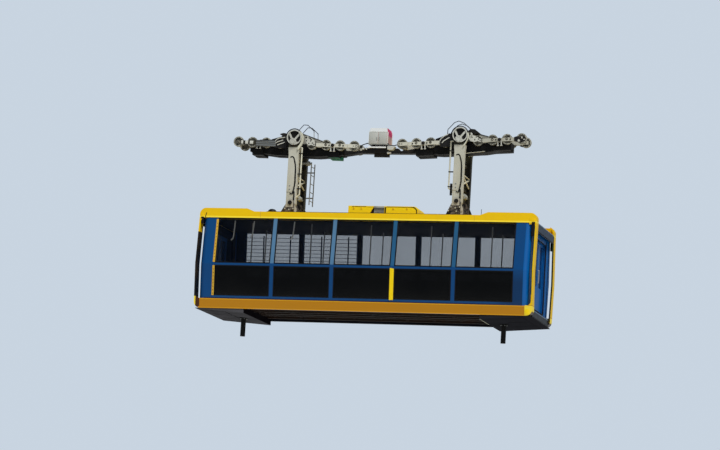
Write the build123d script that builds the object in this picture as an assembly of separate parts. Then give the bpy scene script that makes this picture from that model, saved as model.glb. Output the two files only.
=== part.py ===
"""Large aerial cable car: a long glazed cabin under two hangers and two rope carriages.

Millimetres. X runs along the cabin, the near long side faces -Y and Z is up. The origin lies
on the axis of the track ropes, midway between the two ropes and over the middle of the cabin.
Heights named *_height are measured up from the cabin's base line, the foot of its side frames.
"""
import os
from math import cos, radians, sin

from build123d import *

# Ropes and wheels
rope_radius = 25.0
rope_gauge = 700.0
groove_radius = 145.0
flange_radius = 170.0
wheel_width = 84.0
axle_radius = 30.0
axle_end = 45.0
wheel_pitch = 472.0
first_wheel = 540.0
wheels_per_arm = 4
left_pitch = -1.6
right_pitch = 3.1
hub_rise = 135.0

# Hangers
hanger_spacing = 5500.0
hanger_middle = -50.0
hanger_length = 1980.0
leg_gauge = 1000.0
leg_width = 320.0
leg_head_width = 360.0
leg_head_drop = 420.0
leg_depth = 190.0
hub_pin_radius = 90.0
foot_pin_radius = 55.0
pin_clearance = 0.05
open_pivot_clearance = 3.0

# Cabin: lengths along X
body_length = 10760.0
end_reach = 145.0
frame_bar = 50.0
body_corner_radius = 180.0
end_wall_depth = 180.0
end_panel = 430.0
mullion_width = 150.0
bay_count = 5
raised_length = 1825.0
raised_slope = 250.0

# Cabin: widths across Y
rail_width = 3300.0
side_lean = 140.0
wall_thickness = 50.0
frame_proud = 15.0
frame_gap = 10.0
bar_depth = 300.0
pane_thickness = 12.0
pane_inset = 16.0

# Cabin: heights above the base line, and what follows them upwards
base_to_rope = 5475.0
band_height = 310.0
sill_above_band = 100.0
rail_height = 1414.0
rail_depth = 100.0
window_above_rail = 1518.0
roof_above_window = 38.0
wall_above_window = 168.0
parapet_above_window = 214.0
raised_above_parapet = 98.0
frame_corner_radius = 200.0

# Cabin: decks
floor_thickness = 70.0
roof_thickness = 50.0
ceiling_gap = 40.0
fascia_height = 280.0
fascia_thickness = 40.0

# End doors
door_opening = 1400.0
door_height = 2250.0
door_overlap = 25.0
door_thickness = 36.0
door_gap = 10.0
door_rail_height = 60.0
door_hang_gap = 0.3
door_stile = 110.0
door_centre_gap = 6.0
door_panel_height = 804.0

# Underfloor
pod_length = 1675.0
pod_depth = 130.0
pod_end_depth = 15.0
pod_clearance = 20.0
girder_depth = 190.0
girder_width = 110.0
girder_gap = 10.0
outer_girder_y = 1150.0
inner_girder_y = 420.0
post_radius = 80.0
post_inset = 1215.0
post_reach = 700.0
post_flange_radius = 130.0
post_flange = 25.0

# Cabin: inside and on the roof
ceiling_rib_pitch = 220.0
ceiling_rib_width = 120.0
ceiling_rib_depth = 30.0
pole_radius = 19.0
pole_row_y = 750.0
pole_columns = (-2, -1, 0, 1, 2)
locker_x = (-710.0, 1580.0)
locker_y = (-1100.0, -200.0)
locker_height = 480.0
locker_radius = 130.0
locker_lip = 30.0
unit_x = (-35.0, 480.0)
unit_cheek = 60.0
unit_depth = 420.0
unit_setback = 40.0
unit_clearance = 0.3
beacon_place = (-3250.0, -1050.0)
beacon_stem_radius = 60.0
beacon_stem = 250.0
beacon_dome = ((140.0, 0.0), (122.0, 45.0), (75.0, 80.0), (0.0, 95.0))  # radius, rise
foot_base = 450.0
foot_head = 120.0
foot_toe = 60.0
foot_plate = 30.0
foot_gap = 14.0
foot_span = 240.0
pin_stub = 20.0

# Hanger fittings
cover_thickness = 14.0
cover_width = 235.0
cover_waist = 150.0
cover_drops = (430.0, 520.0, 1420.0, 1620.0)
ring_radius = 245.0
ring_section = 30.0
ring_lift = 165.0
ring_depth = 60.0
ring_disc = 110.0
ring_disc_place = (-40.0, 25.0)
ring_web = 60.0
ring_web_depth = 36.0
ring_webs = (-115.0, -50.0, 15.0)
tie_drops = (700.0, 1500.0)
tie_radius = 60.0
ladder_reach = 420.0
ladder_top = 520.0
ladder_foot = 60.0
ladder_y = 300.0
ladder_width = 400.0
ladder_tube = 18.0
ladder_bracket = 40.0
rung_pitch = 280.0
rung_radius = 12.0

# Carriage fittings, measured from the hub along and square to the rope line
arm_overhang = 330.0
arm_half_width = 250.0
arm_top_end = 70.0
arm_low_end = 285.0
arm_top_hub = 120.0
arm_low_hub = 375.0
arm_neck = 700.0
gusset_plate = 24.0
gusset_head = (150.0, 350.0)
gusset_toe = (880.0, 120.0)
gusset_hole = 60.0
hub_tube = 170.0
pin_recess = 2.0
pedestal_half = 110.0
pedestal_head = 70.0
pedestal_inset = 40.0
hub_side_gap = 8.0
rocker_drop = 15.0
rocker_half = 56.0
rocker_reach = 560.0
rocker_pin = 45.0
rocker_gap = 8.0
rocker_plate = 28.0
rocker_overhang = 80.0
bearing_clearance = 0.05
brake_top = 215.0
brake_half_width = 300.0
brake_spans = {  # start and end along the arm, and how far down
    "left": ((-1480.0, -1110.0, 400.0), (1080.0, 1450.0, 392.0)),
    "right": ((-1520.0, -960.0, 395.0), (1000.0, 1560.0, 335.0)),
}
rope_way = 50.0
rope_way_rise = 35.0
hoop_radius = 11.0
hoop_y = 238.0
left_hoop = ((10.0, 250.0), (5.0, 460.0), (165.0, 655.0), (300.0, 650.0), (525.0, 465.0), (550.0, 180.0))
right_hoop = ((-500.0, 200.0), (-480.0, 430.0), (-260.0, 650.0), (-120.0, 690.0), (55.0, 615.0), (250.0, 420.0),
              (280.0, 250.0))
cover_along = (-1195.0, -650.0)
cover_up = (-140.0, 75.0)
cover_depth = 60.0
cover_wall = 12.0
cover_slats = 5
cover_slat_gap = 10.0
link_gap = 0.3
link_low = -135.0
link_end_depth = 160.0
link_high = 30.0
link_rise_x = (560.0, 640.0)
link_half_width = 120.0
socket_length = 500.0
socket_half = 45.0
socket_drop = 60.0
haul_rope_radius = 15.0
box_x = (-390.0, 230.0)
box_low = 125.0
box_height = 540.0
box_half_width = 300.0
box_slope = (35.0, 130.0)
box_leg = 90.0
box_leg_inset = 110.0
tray_thickness = 18.0

base_z = -base_to_rope
body_half = body_length / 2
half_length = body_half + end_reach
mullion_pitch = (body_length - 2 * end_panel) / bay_count
raised_start = half_length - raised_length
pod_start = half_length - pod_length
post_x = half_length - post_inset
sill_height = band_height + sill_above_band
window_top_height = rail_height + window_above_rail
roof_deck_height = window_top_height + roof_above_window
wall_top_height = window_top_height + wall_above_window
parapet_height = window_top_height + parapet_above_window
raised_height = parapet_height + raised_above_parapet
door_top_height = band_height + door_height
hub_drop = groove_radius + rope_radius
hub_z = {"left": hub_drop - hub_rise / 2, "right": hub_drop + hub_rise / 2}
hanger_x = {"left": hanger_middle - hanger_spacing / 2, "right": hanger_middle + hanger_spacing / 2}
pitch_deg = {"left": left_pitch, "right": right_pitch}
foot_z = {side: hub_z[side] - hanger_length for side in hub_z}
haul_rope_z = link_low - socket_drop
rocker_centre = first_wheel + wheel_pitch * (wheels_per_arm - 1) / 2
arm_reach = rocker_centre + arm_overhang
outer_plate_y = rope_gauge / 2 + wheel_width / 2 + rocker_gap
inner_plate_y = rope_gauge / 2 - wheel_width / 2 - rocker_gap - rocker_plate


def block(x_range, y_range, z_range):
    """Return a box between three pairs of places, in either order."""
    ranges = [sorted(pair) for pair in (x_range, y_range, z_range)]
    size = [high - low for low, high in ranges]
    centre = [(high + low) / 2 for low, high in ranges]
    return Pos(*centre) * Box(*size)


def cylinder_y(x, z, radius, y_range):
    """Return a cylinder along Y between two places."""
    low, high = sorted(y_range)
    return Pos(x, (low + high) / 2, z) * Rot(90, 0, 0) * Cylinder(radius, high - low)


def column(x, y, low, high, radius):
    """Return an upright cylinder between two heights."""
    return Pos(x, y, low) * Cylinder(radius, high - low, align=(Align.CENTER, Align.CENTER, Align.MIN))


def plate_xz(points, y_range):
    """Return a plate with an outline in X and Z, between two places across Y."""
    low, high = sorted(y_range)
    face = make_face(Polyline(*points, close=True))
    return extrude(Plane.XZ.offset(-low) * face, amount=-(high - low))


def plate_yz(points, x_range):
    """Return a plate with an outline in Y and Z, between two places along X."""
    low, high = sorted(x_range)
    face = make_face(Polyline(*points, close=True))
    return extrude(Plane.YZ.offset(low) * face, amount=high - low)


def save(node, solids):
    """Write one node, made of one or several solids, to its STEP file."""
    parts = list(solids) if isinstance(solids, (list, tuple)) else [solids]
    pieces = [piece for part in parts for piece in part.solids()]
    whole = pieces[0] if len(pieces) == 1 else Compound(children=pieces)
    whole.label = node
    export_step(whole, f"parts/{node}.step")


def side_y(height):
    """Return how far the outer wall stands from the centre plane at a height."""
    widest = rail_width / 2
    if height < rail_height:
        return widest - side_lean * (rail_height - height) / rail_height
    return widest - side_lean * (height - rail_height) / window_above_rail


def body_solid(inset, top_height):
    """Return the cabin's closed body, drawn in from its outer wall by an inset."""
    sections = []
    for height in (0.0, rail_height, top_height):
        outline = RectangleRounded(
            body_length - 2 * inset, 2 * (side_y(height) - inset), body_corner_radius - inset
        )
        sections.append(Pos(0, 0, base_z + height) * outline)
    return loft(sections, ruled=True)


def side_slab(inner, outer, y_sign):
    """Return a slab that follows one leaning side, between two distances from the wall line."""
    heights = (0.0, rail_height, raised_height)
    outer_line = [(y_sign * (side_y(h) + outer), base_z + h) for h in heights]
    inner_line = [(y_sign * (side_y(h) - inner), base_z + h) for h in reversed(heights)]
    return plate_yz(outer_line + inner_line, (-half_length, half_length))


def bay_openings():
    """Return the window openings of one side as (x_range, height_range) pairs."""
    openings = []
    for bay in range(bay_count):
        centre = (bay - (bay_count - 1) / 2) * mullion_pitch
        half = (mullion_pitch - mullion_width) / 2
        x_range = (centre - half, centre + half)
        openings.append((x_range, (sill_height, rail_height - rail_depth / 2)))
        openings.append((x_range, (rail_height + rail_depth / 2, window_top_height)))
    return openings


def opening_block(x_range, height_range, y_sign):
    """Return the box that cuts one window opening through one side."""
    through = (y_sign * rail_width / 4, y_sign * rail_width)
    return block(x_range, through, tuple(base_z + h for h in height_range))


def frame_prism(outline):
    """Return an outline in X and Z carried right across the cabin."""
    return extrude(Plane.XZ.offset(rail_width) * outline, amount=-2 * rail_width)


def frame_outline():
    """Return the side frame's outer outline in X and Z, its four corners rounded."""
    rise = raised_start + raised_slope
    points = [
        (-half_length, 0), (half_length, 0), (half_length, raised_height), (rise, raised_height),
        (raised_start, parapet_height), (-raised_start, parapet_height), (-rise, raised_height),
        (-half_length, raised_height),
    ]
    outline = make_face(Polyline(*[(x, base_z + h) for x, h in points], close=True))
    corners = [v for v in outline.vertices() if abs(abs(v.X) - half_length) < 1.0]
    return fillet(corners, frame_corner_radius)


def side_frame(y_sign):
    """Return one long side's frame: lower band, roof band and the two end bars in one."""
    prism = frame_prism(frame_outline())
    inside = half_length - frame_bar
    inner_radius = frame_corner_radius - frame_bar
    window = RectangleRounded(2 * inside, window_top_height - band_height, inner_radius)
    hole = frame_prism(Pos(0, base_z + (band_height + window_top_height) / 2) * window)
    bands = (side_slab(0.0, frame_proud, y_sign) & prism) - hole
    hoop = RectangleRounded(2 * inside, raised_height - 2 * frame_bar, inner_radius)
    inner_hole = frame_prism(Pos(0, base_z + raised_height / 2) * hoop)
    bars = (side_slab(bar_depth - frame_proud, frame_proud, y_sign) & prism) - inner_hole
    bar_start = body_half + frame_gap
    bars -= block((-bar_start, bar_start), (-rail_width, rail_width), (base_z - frame_bar, base_z + 2 * raised_height))
    return bands + bars


def side_wall(y_sign):
    """Return one long side's wall panel with its window openings."""
    shell = body_solid(0.0, wall_top_height) - body_solid(wall_thickness, wall_top_height)
    panel_half = body_half - end_wall_depth
    wall = shell & block((-panel_half, panel_half), (0.0, y_sign * rail_width), (base_z, base_z + wall_top_height))
    for x_range, height_range in bay_openings():
        wall -= opening_block(x_range, height_range, y_sign)
    return wall


def side_panes(y_sign):
    """Return one side's ten window panes."""
    skin = body_solid(pane_inset, wall_top_height) - body_solid(pane_inset + pane_thickness, wall_top_height)
    return [skin & opening_block(x_range, height_range, y_sign) for x_range, height_range in bay_openings()]


def end_wall(x_sign):
    """Return one end wall with its rounded corners and its doorway."""
    shell = body_solid(0.0, wall_top_height) - body_solid(wall_thickness, wall_top_height)
    x_range = (x_sign * (body_half - end_wall_depth), x_sign * (body_half + end_reach))
    wall = shell & block(
        x_range, (-rail_width, rail_width), (base_z, base_z + roof_deck_height - roof_thickness)
    )
    doorway = block(
        x_range, (-door_opening / 2, door_opening / 2), (base_z + band_height, base_z + door_top_height)
    )
    return wall - doorway


def door_leaf(x_sign, y_sign):
    """Return one sliding door leaf, a stile and rail frame round a tall window."""
    face_x = body_half - wall_thickness - door_gap
    x_range = (x_sign * (face_x - door_thickness), x_sign * face_x)
    y_range = (y_sign * door_centre_gap / 2, y_sign * (door_opening / 2 + door_overlap))
    leaf = block(x_range, y_range, (base_z + band_height + door_gap, base_z + door_top_height + door_overlap))
    window_y, window_z = door_window(y_sign)
    return leaf - block(x_range, window_y, window_z)


def door_rail(x_sign):
    """Return the rail inside an end wall that both of its door leaves hang from."""
    face_x = body_half - wall_thickness
    x_range = (x_sign * (face_x - door_gap - door_thickness), x_sign * face_x)
    low = base_z + door_top_height + door_overlap + door_hang_gap
    reach = side_y(door_top_height) - body_corner_radius - pod_clearance
    return block(x_range, (-reach, reach), (low, low + door_rail_height))


def door_window(y_sign):
    """Return the window of a door leaf as its Y and Z ranges."""
    inner = y_sign * (door_centre_gap / 2 + door_stile)
    outer = y_sign * (door_opening / 2 + door_overlap - door_stile)
    z_range = (base_z + band_height + door_panel_height, base_z + door_top_height - door_stile)
    return (inner, outer), z_range


def door_pane(x_sign, y_sign):
    """Return the pane in a door leaf's window."""
    middle = body_half - wall_thickness - door_gap - door_thickness / 2
    x_range = (x_sign * (middle - pane_thickness / 2), x_sign * (middle + pane_thickness / 2))
    return block(x_range, *door_window(y_sign))


def build_cabin():
    """Write the cabin's fixed nodes and its doors."""
    for name, y_sign in (("near", -1), ("far", 1)):
        save(f"side_frame_{name}", side_frame(y_sign))
        save(f"side_wall_{name}", side_wall(y_sign))
        save(f"side_panes_{name}", side_panes(y_sign))
    save("door_rails", [door_rail(x_sign) for x_sign in (-1, 1)])
    for name, x_sign in (("left", -1), ("right", 1)):
        save(f"end_wall_{name}", end_wall(x_sign))
        for leaf, y_sign in (("near", -1), ("far", 1)):
            save(f"door_leaf_{name}_{leaf}", door_leaf(x_sign, y_sign))
            save(f"door_pane_{name}_{leaf}", door_pane(x_sign, y_sign))
    build_underfloor()
    build_roof()


def build_underfloor():
    """Write the floor and what hangs under it."""
    floor_top = base_z + band_height
    floor_bottom = floor_top - floor_thickness
    floor_box = block((-body_half, body_half), (-rail_width, rail_width), (floor_bottom, floor_top))
    save("floor_deck", body_solid(wall_thickness, wall_top_height) & floor_box)
    girder_x = (-pod_start + girder_gap, pod_start - girder_gap)
    girders = [
        block(girder_x, (y - girder_width / 2, y + girder_width / 2), (floor_bottom - girder_depth, floor_bottom))
        for y in (-outer_girder_y, -inner_girder_y, inner_girder_y, outer_girder_y)
    ]
    save("floor_girders", girders)
    pods = [underfloor_pod(x_sign, floor_bottom) for x_sign in (-1, 1)]
    save("end_underfloors", pods)
    save("docking_posts", [docking_post(x_sign, pod) for x_sign, pod in zip((-1, 1), pods)])
    sill_x = (body_half, half_length - frame_bar)
    sills = [
        block((x_sign * sill_x[0], x_sign * sill_x[1]), (-end_half_width(), end_half_width()), (base_z, floor_bottom))
        for x_sign in (-1, 1)
    ]
    save("end_sills", sills)


def end_half_width():
    """Return half the width left between the two end bars of one end."""
    return side_y(window_top_height) - bar_depth


def build_roof():
    """Write the roof, the ceiling, the poles and what stands on the roof."""
    roof_z = base_z + roof_deck_height
    roof_y = side_y(roof_deck_height) - wall_thickness
    roof_x = half_length - frame_bar
    save("roof_deck", block((-roof_x, roof_x), (-roof_y, roof_y), (roof_z - roof_thickness, roof_z)))
    fascias = [
        block(
            (x_sign * roof_x, x_sign * (roof_x + fascia_thickness)), (-end_half_width(), end_half_width()),
            (roof_z - fascia_height, roof_z),
        )
        for x_sign in (-1, 1)
    ]
    save("end_fascias", fascias)
    ceiling_y = roof_y - ceiling_gap
    ceiling_x = body_half - wall_thickness - door_gap - door_thickness - ceiling_gap
    rib_count = int(2 * ceiling_y // ceiling_rib_pitch)
    ceiling_top = roof_z - roof_thickness
    rib_z = (ceiling_top - ceiling_rib_depth, ceiling_top)
    ribs = []
    for i in range(rib_count):
        y = (i - (rib_count - 1) / 2) * ceiling_rib_pitch
        ribs.append(block((-ceiling_x, ceiling_x), (y - ceiling_rib_width / 2, y + ceiling_rib_width / 2), rib_z))
    save("ceiling_ribs", ribs)
    poles = [
        column(place * mullion_pitch, y, base_z + band_height, rib_z[0], pole_radius)
        for y in (-pole_row_y, pole_row_y)
        for place in pole_columns
    ]
    save("grab_poles", poles)
    save("roof_locker", roof_locker(roof_z))
    save("roof_unit", roof_unit(roof_z))
    save("roof_beacon", roof_beacon(roof_z))
    for side in ("left", "right"):
        save(f"hanger_foot_{side}", hanger_foot(side, roof_z))


def underfloor_pod(x_sign, top):
    """Return one end's underfloor housing, deeper at its inner edge."""
    inner_x = x_sign * pod_start
    outer_x = x_sign * (half_length - frame_bar)
    lower = plate_xz(
        [(inner_x, base_z), (inner_x, base_z - pod_depth), (outer_x, base_z - pod_end_depth), (outer_x, base_z)],
        (-side_y(0), side_y(0)),
    )
    upper_half = side_y(0) - wall_thickness - body_corner_radius / 2
    upper_x = (inner_x, x_sign * (body_half - wall_thickness - pod_clearance))
    return lower + block(upper_x, (-upper_half, upper_half), (base_z, top))


def docking_post(x_sign, pod):
    """Return one docking post with its flange, fitted under the sloping housing."""
    inner_edge = post_x - post_flange_radius
    slope = (pod_depth - pod_end_depth) / (half_length - frame_bar - pod_start)
    flange_z = base_z - pod_depth + slope * (inner_edge - pod_start) - post_flange
    post = column(x_sign * post_x, 0, base_z - post_reach, base_z, post_radius)
    flange = column(x_sign * post_x, 0, flange_z, base_z, post_flange_radius)
    return post + flange - pod


def roof_locker(roof_z):
    """Return the roof locker, rounded at one end, with the recess for the grey unit."""
    top = roof_z + locker_height
    shape = block(locker_x, locker_y, (roof_z, top))
    edge = shape.edges().filter_by(Axis.Y).sort_by(Axis.Z)[-2:].sort_by(Axis.X)[-1]
    shape = fillet(edge, locker_radius)
    recess_x = (unit_x[0] - unit_cheek, unit_x[1])
    recess = block(recess_x, (locker_y[0], locker_y[0] + unit_depth), (roof_z, top - locker_lip))
    return shape - recess


def roof_unit(roof_z):
    """Return the grey unit that stands in the locker's recess."""
    return block(
        (unit_x[0], unit_x[1] - unit_clearance), (locker_y[0] + unit_setback, locker_y[0] + unit_depth),
        (roof_z, roof_z + locker_height - locker_lip),
    )


def roof_beacon(roof_z):
    """Return the dark dome lamp on its stem."""
    outline = [(0, 0), (beacon_stem_radius, 0), (beacon_stem_radius, beacon_stem)]
    outline += [(radius, beacon_stem + rise) for radius, rise in beacon_dome]
    face = Plane.XZ * make_face(Polyline(*outline, close=True))
    return Pos(*beacon_place, roof_z) * revolve(face, Axis.Z)


def hanger_foot(side, roof_z):
    """Return the foot that carries one hanger: two gusset plates a leg, tied, with their pins."""
    x = hanger_x[side]
    pin_z = foot_z[side]
    foot = block(
        (x - foot_base, x + foot_base), (-leg_gauge / 2 - foot_span, leg_gauge / 2 + foot_span),
        (roof_z, roof_z + foot_toe),
    )
    for y_sign in (-1, 1):
        for offset in (-1, 1):
            middle = y_sign * leg_gauge / 2 + offset * (leg_depth / 2 + foot_gap + foot_plate / 2)
            y_range = (middle - foot_plate / 2, middle + foot_plate / 2)
            outline = [
                (x - foot_base, roof_z), (x + foot_base, roof_z), (x + foot_base, roof_z + foot_toe),
                (x + foot_head, pin_z), (x - foot_head, pin_z), (x - foot_base, roof_z + foot_toe),
            ]
            foot += plate_xz(outline, y_range) + cylinder_y(x, pin_z, foot_head, y_range)
        span = leg_depth / 2 + foot_gap + foot_plate + pin_stub
        foot += cylinder_y(
            x, pin_z, foot_pin_radius, (y_sign * leg_gauge / 2 - span, y_sign * leg_gauge / 2 + span)
        )
    return foot


def hanger_leg(side, y_sign):
    """Return one hanger leg, wider at its head, with its two bores and its raised cover plate."""
    x = hanger_x[side]
    y = y_sign * leg_gauge / 2
    y_range = (y - leg_depth / 2, y + leg_depth / 2)
    top = hub_z[side]
    low = foot_z[side]
    half = leg_width / 2
    head = leg_head_width / 2
    outline = [
        (x - half, low), (x + half, low), (x + half, top - leg_head_drop), (x + head, top - leg_head_drop / 2),
        (x + head, top), (x - head, top), (x - head, top - leg_head_drop / 2), (x - half, top - leg_head_drop),
    ]
    leg = plate_xz(outline, y_range)
    leg += cylinder_y(x, top, head, y_range) + cylinder_y(x, low, half, y_range)
    foot_clearance = open_pivot_clearance if side == "right" else pin_clearance
    leg -= cylinder_y(x, top, hub_pin_radius + pin_clearance, y_range)
    leg -= cylinder_y(x, low, foot_pin_radius + foot_clearance, y_range)
    outer = y_sign * (leg_gauge / 2 + leg_depth / 2)
    return leg + plate_xz(cover_outline(x, top), (outer, outer + y_sign * cover_thickness))


def cover_outline(x, top):
    """Return the outline of a leg's raised cover plate, narrower at both of its ends."""
    left = x - leg_width / 2
    head, shoulder, hip, toe = (top - drop for drop in cover_drops)
    return [
        (left, head), (left + cover_waist, head), (left + cover_width, shoulder),
        (left + cover_width, hip), (left + cover_waist, toe), (left, toe),
    ]


def hanger_legs(side):
    """Return a hanger's two legs and the cross tubes that join them."""
    inner = leg_gauge / 2 - leg_depth / 2
    legs = hanger_leg(side, -1) + hanger_leg(side, 1)
    for drop in tie_drops:
        legs += cylinder_y(hanger_x[side], hub_z[side] - drop, tie_radius, (-inner, inner))
    return legs


def hub_rings(side):
    """Return the ringed hub plates on the outer faces of a hanger's legs."""
    x = hanger_x[side]
    z = hub_z[side]
    ring_z = z + ring_lift
    disc_x, disc_z = x + ring_disc_place[0], z + ring_disc_place[1]
    rings = []
    for y_sign in (-1, 1):
        face = y_sign * (leg_gauge / 2 + leg_depth / 2)
        y_range = (face, face + y_sign * ring_depth)
        ring = cylinder_y(x, ring_z, ring_radius, y_range)
        ring -= cylinder_y(x, ring_z, ring_radius - ring_section, y_range)
        ring += cylinder_y(disc_x, disc_z, ring_disc, y_range)
        rim = cylinder_y(x, ring_z, ring_radius - ring_section / 2, y_range)
        for angle in ring_webs:
            web = Pos(disc_x, face + y_sign * ring_web_depth / 2, disc_z) * Rot(0, angle, 0)
            web *= Pos(ring_radius, 0, 0) * Box(2 * ring_radius, ring_web_depth, ring_web)
            ring += web & rim
        rings.append(ring)
    return rings


def build_hangers():
    """Write the nodes of the two hangers."""
    for side in ("left", "right"):
        save(f"hanger_legs_{side}", hanger_legs(side))
        save(f"hub_rings_{side}", hub_rings(side))
    save("hanger_ladder", ladder())


def ladder():
    """Return the ladder beside the left hanger, on two brackets that reach from its leg."""
    x = hanger_x["left"] + ladder_reach
    top = hub_z["left"] - ladder_top
    low = foot_z["left"] + ladder_foot
    rail_y = (ladder_y - ladder_width / 2, ladder_y + ladder_width / 2)
    frame = column(x, rail_y[0], low, top, ladder_tube) + column(x, rail_y[1], low, top, ladder_tube)
    for i in range(int((top - low) // rung_pitch)):
        frame += cylinder_y(x, low + rung_pitch * (i + 0.5), rung_radius, rail_y)
    leg_face = hanger_x["left"] + leg_width / 2
    for z in (low + rung_pitch, top - rung_pitch):
        frame += block(
            (leg_face, x), (rail_y[1] - ladder_tube, rail_y[1]), (z - ladder_bracket / 2, z + ladder_bracket / 2)
        )
    return frame


def wheelset(side, index):
    """Return one axle with its two grooved wheels, turned in one profile."""
    arm, step = (-1, index) if index < wheels_per_arm else (1, index - wheels_per_arm)
    x, z = on_carriage(side, arm * (first_wheel + wheel_pitch * step), 0.0)
    half = wheel_width / 2
    end = rope_gauge / 2 + half + axle_end
    outline = [(0, -end), (axle_radius, -end)]
    for centre in (-rope_gauge / 2, rope_gauge / 2):
        outline += [
            (axle_radius, centre - half), (flange_radius, centre - half), (groove_radius, centre),
            (flange_radius, centre + half), (axle_radius, centre + half),
        ]
    outline += [(axle_radius, end), (0, end)]
    return Pos(x, 0, z) * revolve(make_face(Polyline(*outline, close=True)), Axis.Y)


def on_carriage(side, along, up):
    """Return a place on a carriage, measured from its hub along and square to its own rope line."""
    angle = radians(pitch_deg[side])
    return (
        hanger_x[side] + along * cos(angle) - up * sin(angle),
        hub_z[side] + along * sin(angle) + up * cos(angle),
    )


def carriage_plate(side, points, y_range):
    """Return a plate of a carriage from points (along, up) in its own pitched line."""
    return plate_xz([on_carriage(side, along, up) for along, up in points], y_range)


def carriage_bore(side, along, up, radius, y_range):
    """Return a cylinder across a carriage at a place (along, up) in its own pitched line."""
    return cylinder_y(*on_carriage(side, along, up), radius, y_range)


def carriage_arms(side):
    """Return the boxed arms of a carriage, between the ropes and under the axles."""
    outline = [
        (-arm_reach, -arm_top_end), (-arm_neck, -arm_top_hub), (arm_neck, -arm_top_hub), (arm_reach, -arm_top_end),
        (arm_reach, -arm_low_end), (arm_neck, -arm_low_hub), (-arm_neck, -arm_low_hub), (-arm_reach, -arm_low_end),
    ]
    arms = carriage_plate(side, outline, (-arm_half_width, arm_half_width))
    return arms - rope_channel(haul_rope_z + rope_way_rise)


def rope_channel(top):
    """Return the clear way for the haul rope along the middle of the carriages, open below."""
    return block((-half_length, half_length), (-rope_way, rope_way), (top - hanger_length, top))


def carriage_frame(side):
    """Return a carriage's main frame: arms, gussets, hub tube, pins, pedestals and guard hoops."""
    frame = carriage_arms(side)
    gusset = [
        (-gusset_toe[0], -arm_top_hub), (-gusset_toe[0], gusset_toe[1]), (-gusset_head[0], gusset_head[1]),
        (gusset_head[0], gusset_head[1]), (gusset_toe[0], gusset_toe[1]), (gusset_toe[0], -arm_top_hub),
    ]
    for y_sign in (-1, 1):
        y_range = (y_sign * arm_half_width, y_sign * (arm_half_width - gusset_plate))
        plate = carriage_plate(side, gusset, y_range)
        for along in (-first_wheel, first_wheel):
            plate -= carriage_bore(side, along, 0.0, gusset_hole, y_range)
        frame += plate
    tube_reach = leg_gauge / 2 - leg_depth / 2 - hub_side_gap
    frame += carriage_bore(side, 0.0, 0.0, hub_tube, (-tube_reach, tube_reach))
    pin_reach = leg_gauge / 2 + leg_depth / 2 - pin_recess
    frame += carriage_bore(side, 0.0, 0.0, hub_pin_radius, (-pin_reach, pin_reach))
    pedestal_y = (-arm_half_width + pedestal_inset, arm_half_width - pedestal_inset)
    pin_y = outer_plate_y + rocker_plate + pin_stub
    for arm in (-1, 1):
        centre = arm * rocker_centre
        pedestal = [
            (centre - pedestal_half, -arm_top_hub), (centre + pedestal_half, -arm_top_hub),
            (centre + pedestal_head, -rocker_drop), (centre - pedestal_head, -rocker_drop),
        ]
        frame += carriage_plate(side, pedestal, pedestal_y)
        frame += carriage_bore(side, centre, -rocker_drop, pedestal_head, pedestal_y)
        frame += carriage_bore(side, centre, -rocker_drop, rocker_pin, (-pin_y, pin_y))
    for hoop in guard_hoops(side):
        frame += hoop
    return frame


def guard_hoops(side):
    """Return the two thin guard hoops that arch over a hub, one on each gusset."""
    points = [on_carriage(side, *point) for point in (left_hoop if side == "left" else right_hoop)]
    run = Vector(points[1][0] - points[0][0], 0, points[1][1] - points[0][1])
    hoops = []
    for y in (-hoop_y, hoop_y):
        path = Polyline(*[(x, y, z) for x, z in points])
        ring = Plane(origin=(points[0][0], y, points[0][1]), z_dir=run) * Circle(hoop_radius)
        hoops.append(sweep(ring, path=path, transition=Transition.RIGHT))
    return hoops


def rocker_beams(side):
    """Return the balance beams beside the wheels, two arms by two ropes, and the slatted cover."""
    half_pitches = wheel_pitch * (wheels_per_arm - 1) / 2
    inner_end = half_pitches + rocker_overhang
    plates = []
    for arm in (-1, 1):
        centre = arm * rocker_centre
        for place, end in ((outer_plate_y, rocker_reach), (inner_plate_y, inner_end)):
            for y_sign in (-1, 1):
                y_range = (y_sign * place, y_sign * (place + rocker_plate))
                plates.append(rocker_plate_solid(side, arm, centre, end, y_range))
        if side == "left" and arm == -1:
            plates[0] += slatted_cover(side)
    return plates


def rocker_plate_solid(side, arm, centre, end, y_range):
    """Return one balance beam plate with its pin bore and the bores of the axles that it reaches."""
    outline = [
        (centre - end, -rocker_drop - rocker_half), (centre + end, -rocker_drop - rocker_half),
        (centre + end, -rocker_drop + rocker_half), (centre - end, -rocker_drop + rocker_half),
    ]
    plate = carriage_plate(side, outline, y_range)
    plate -= carriage_bore(side, centre, -rocker_drop, rocker_pin, y_range)
    for step in range(wheels_per_arm):
        along = arm * (first_wheel + wheel_pitch * step)
        if abs(along - centre) < end:
            plate -= carriage_bore(side, along, 0.0, axle_radius + bearing_clearance, y_range)
    return plate


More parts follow.
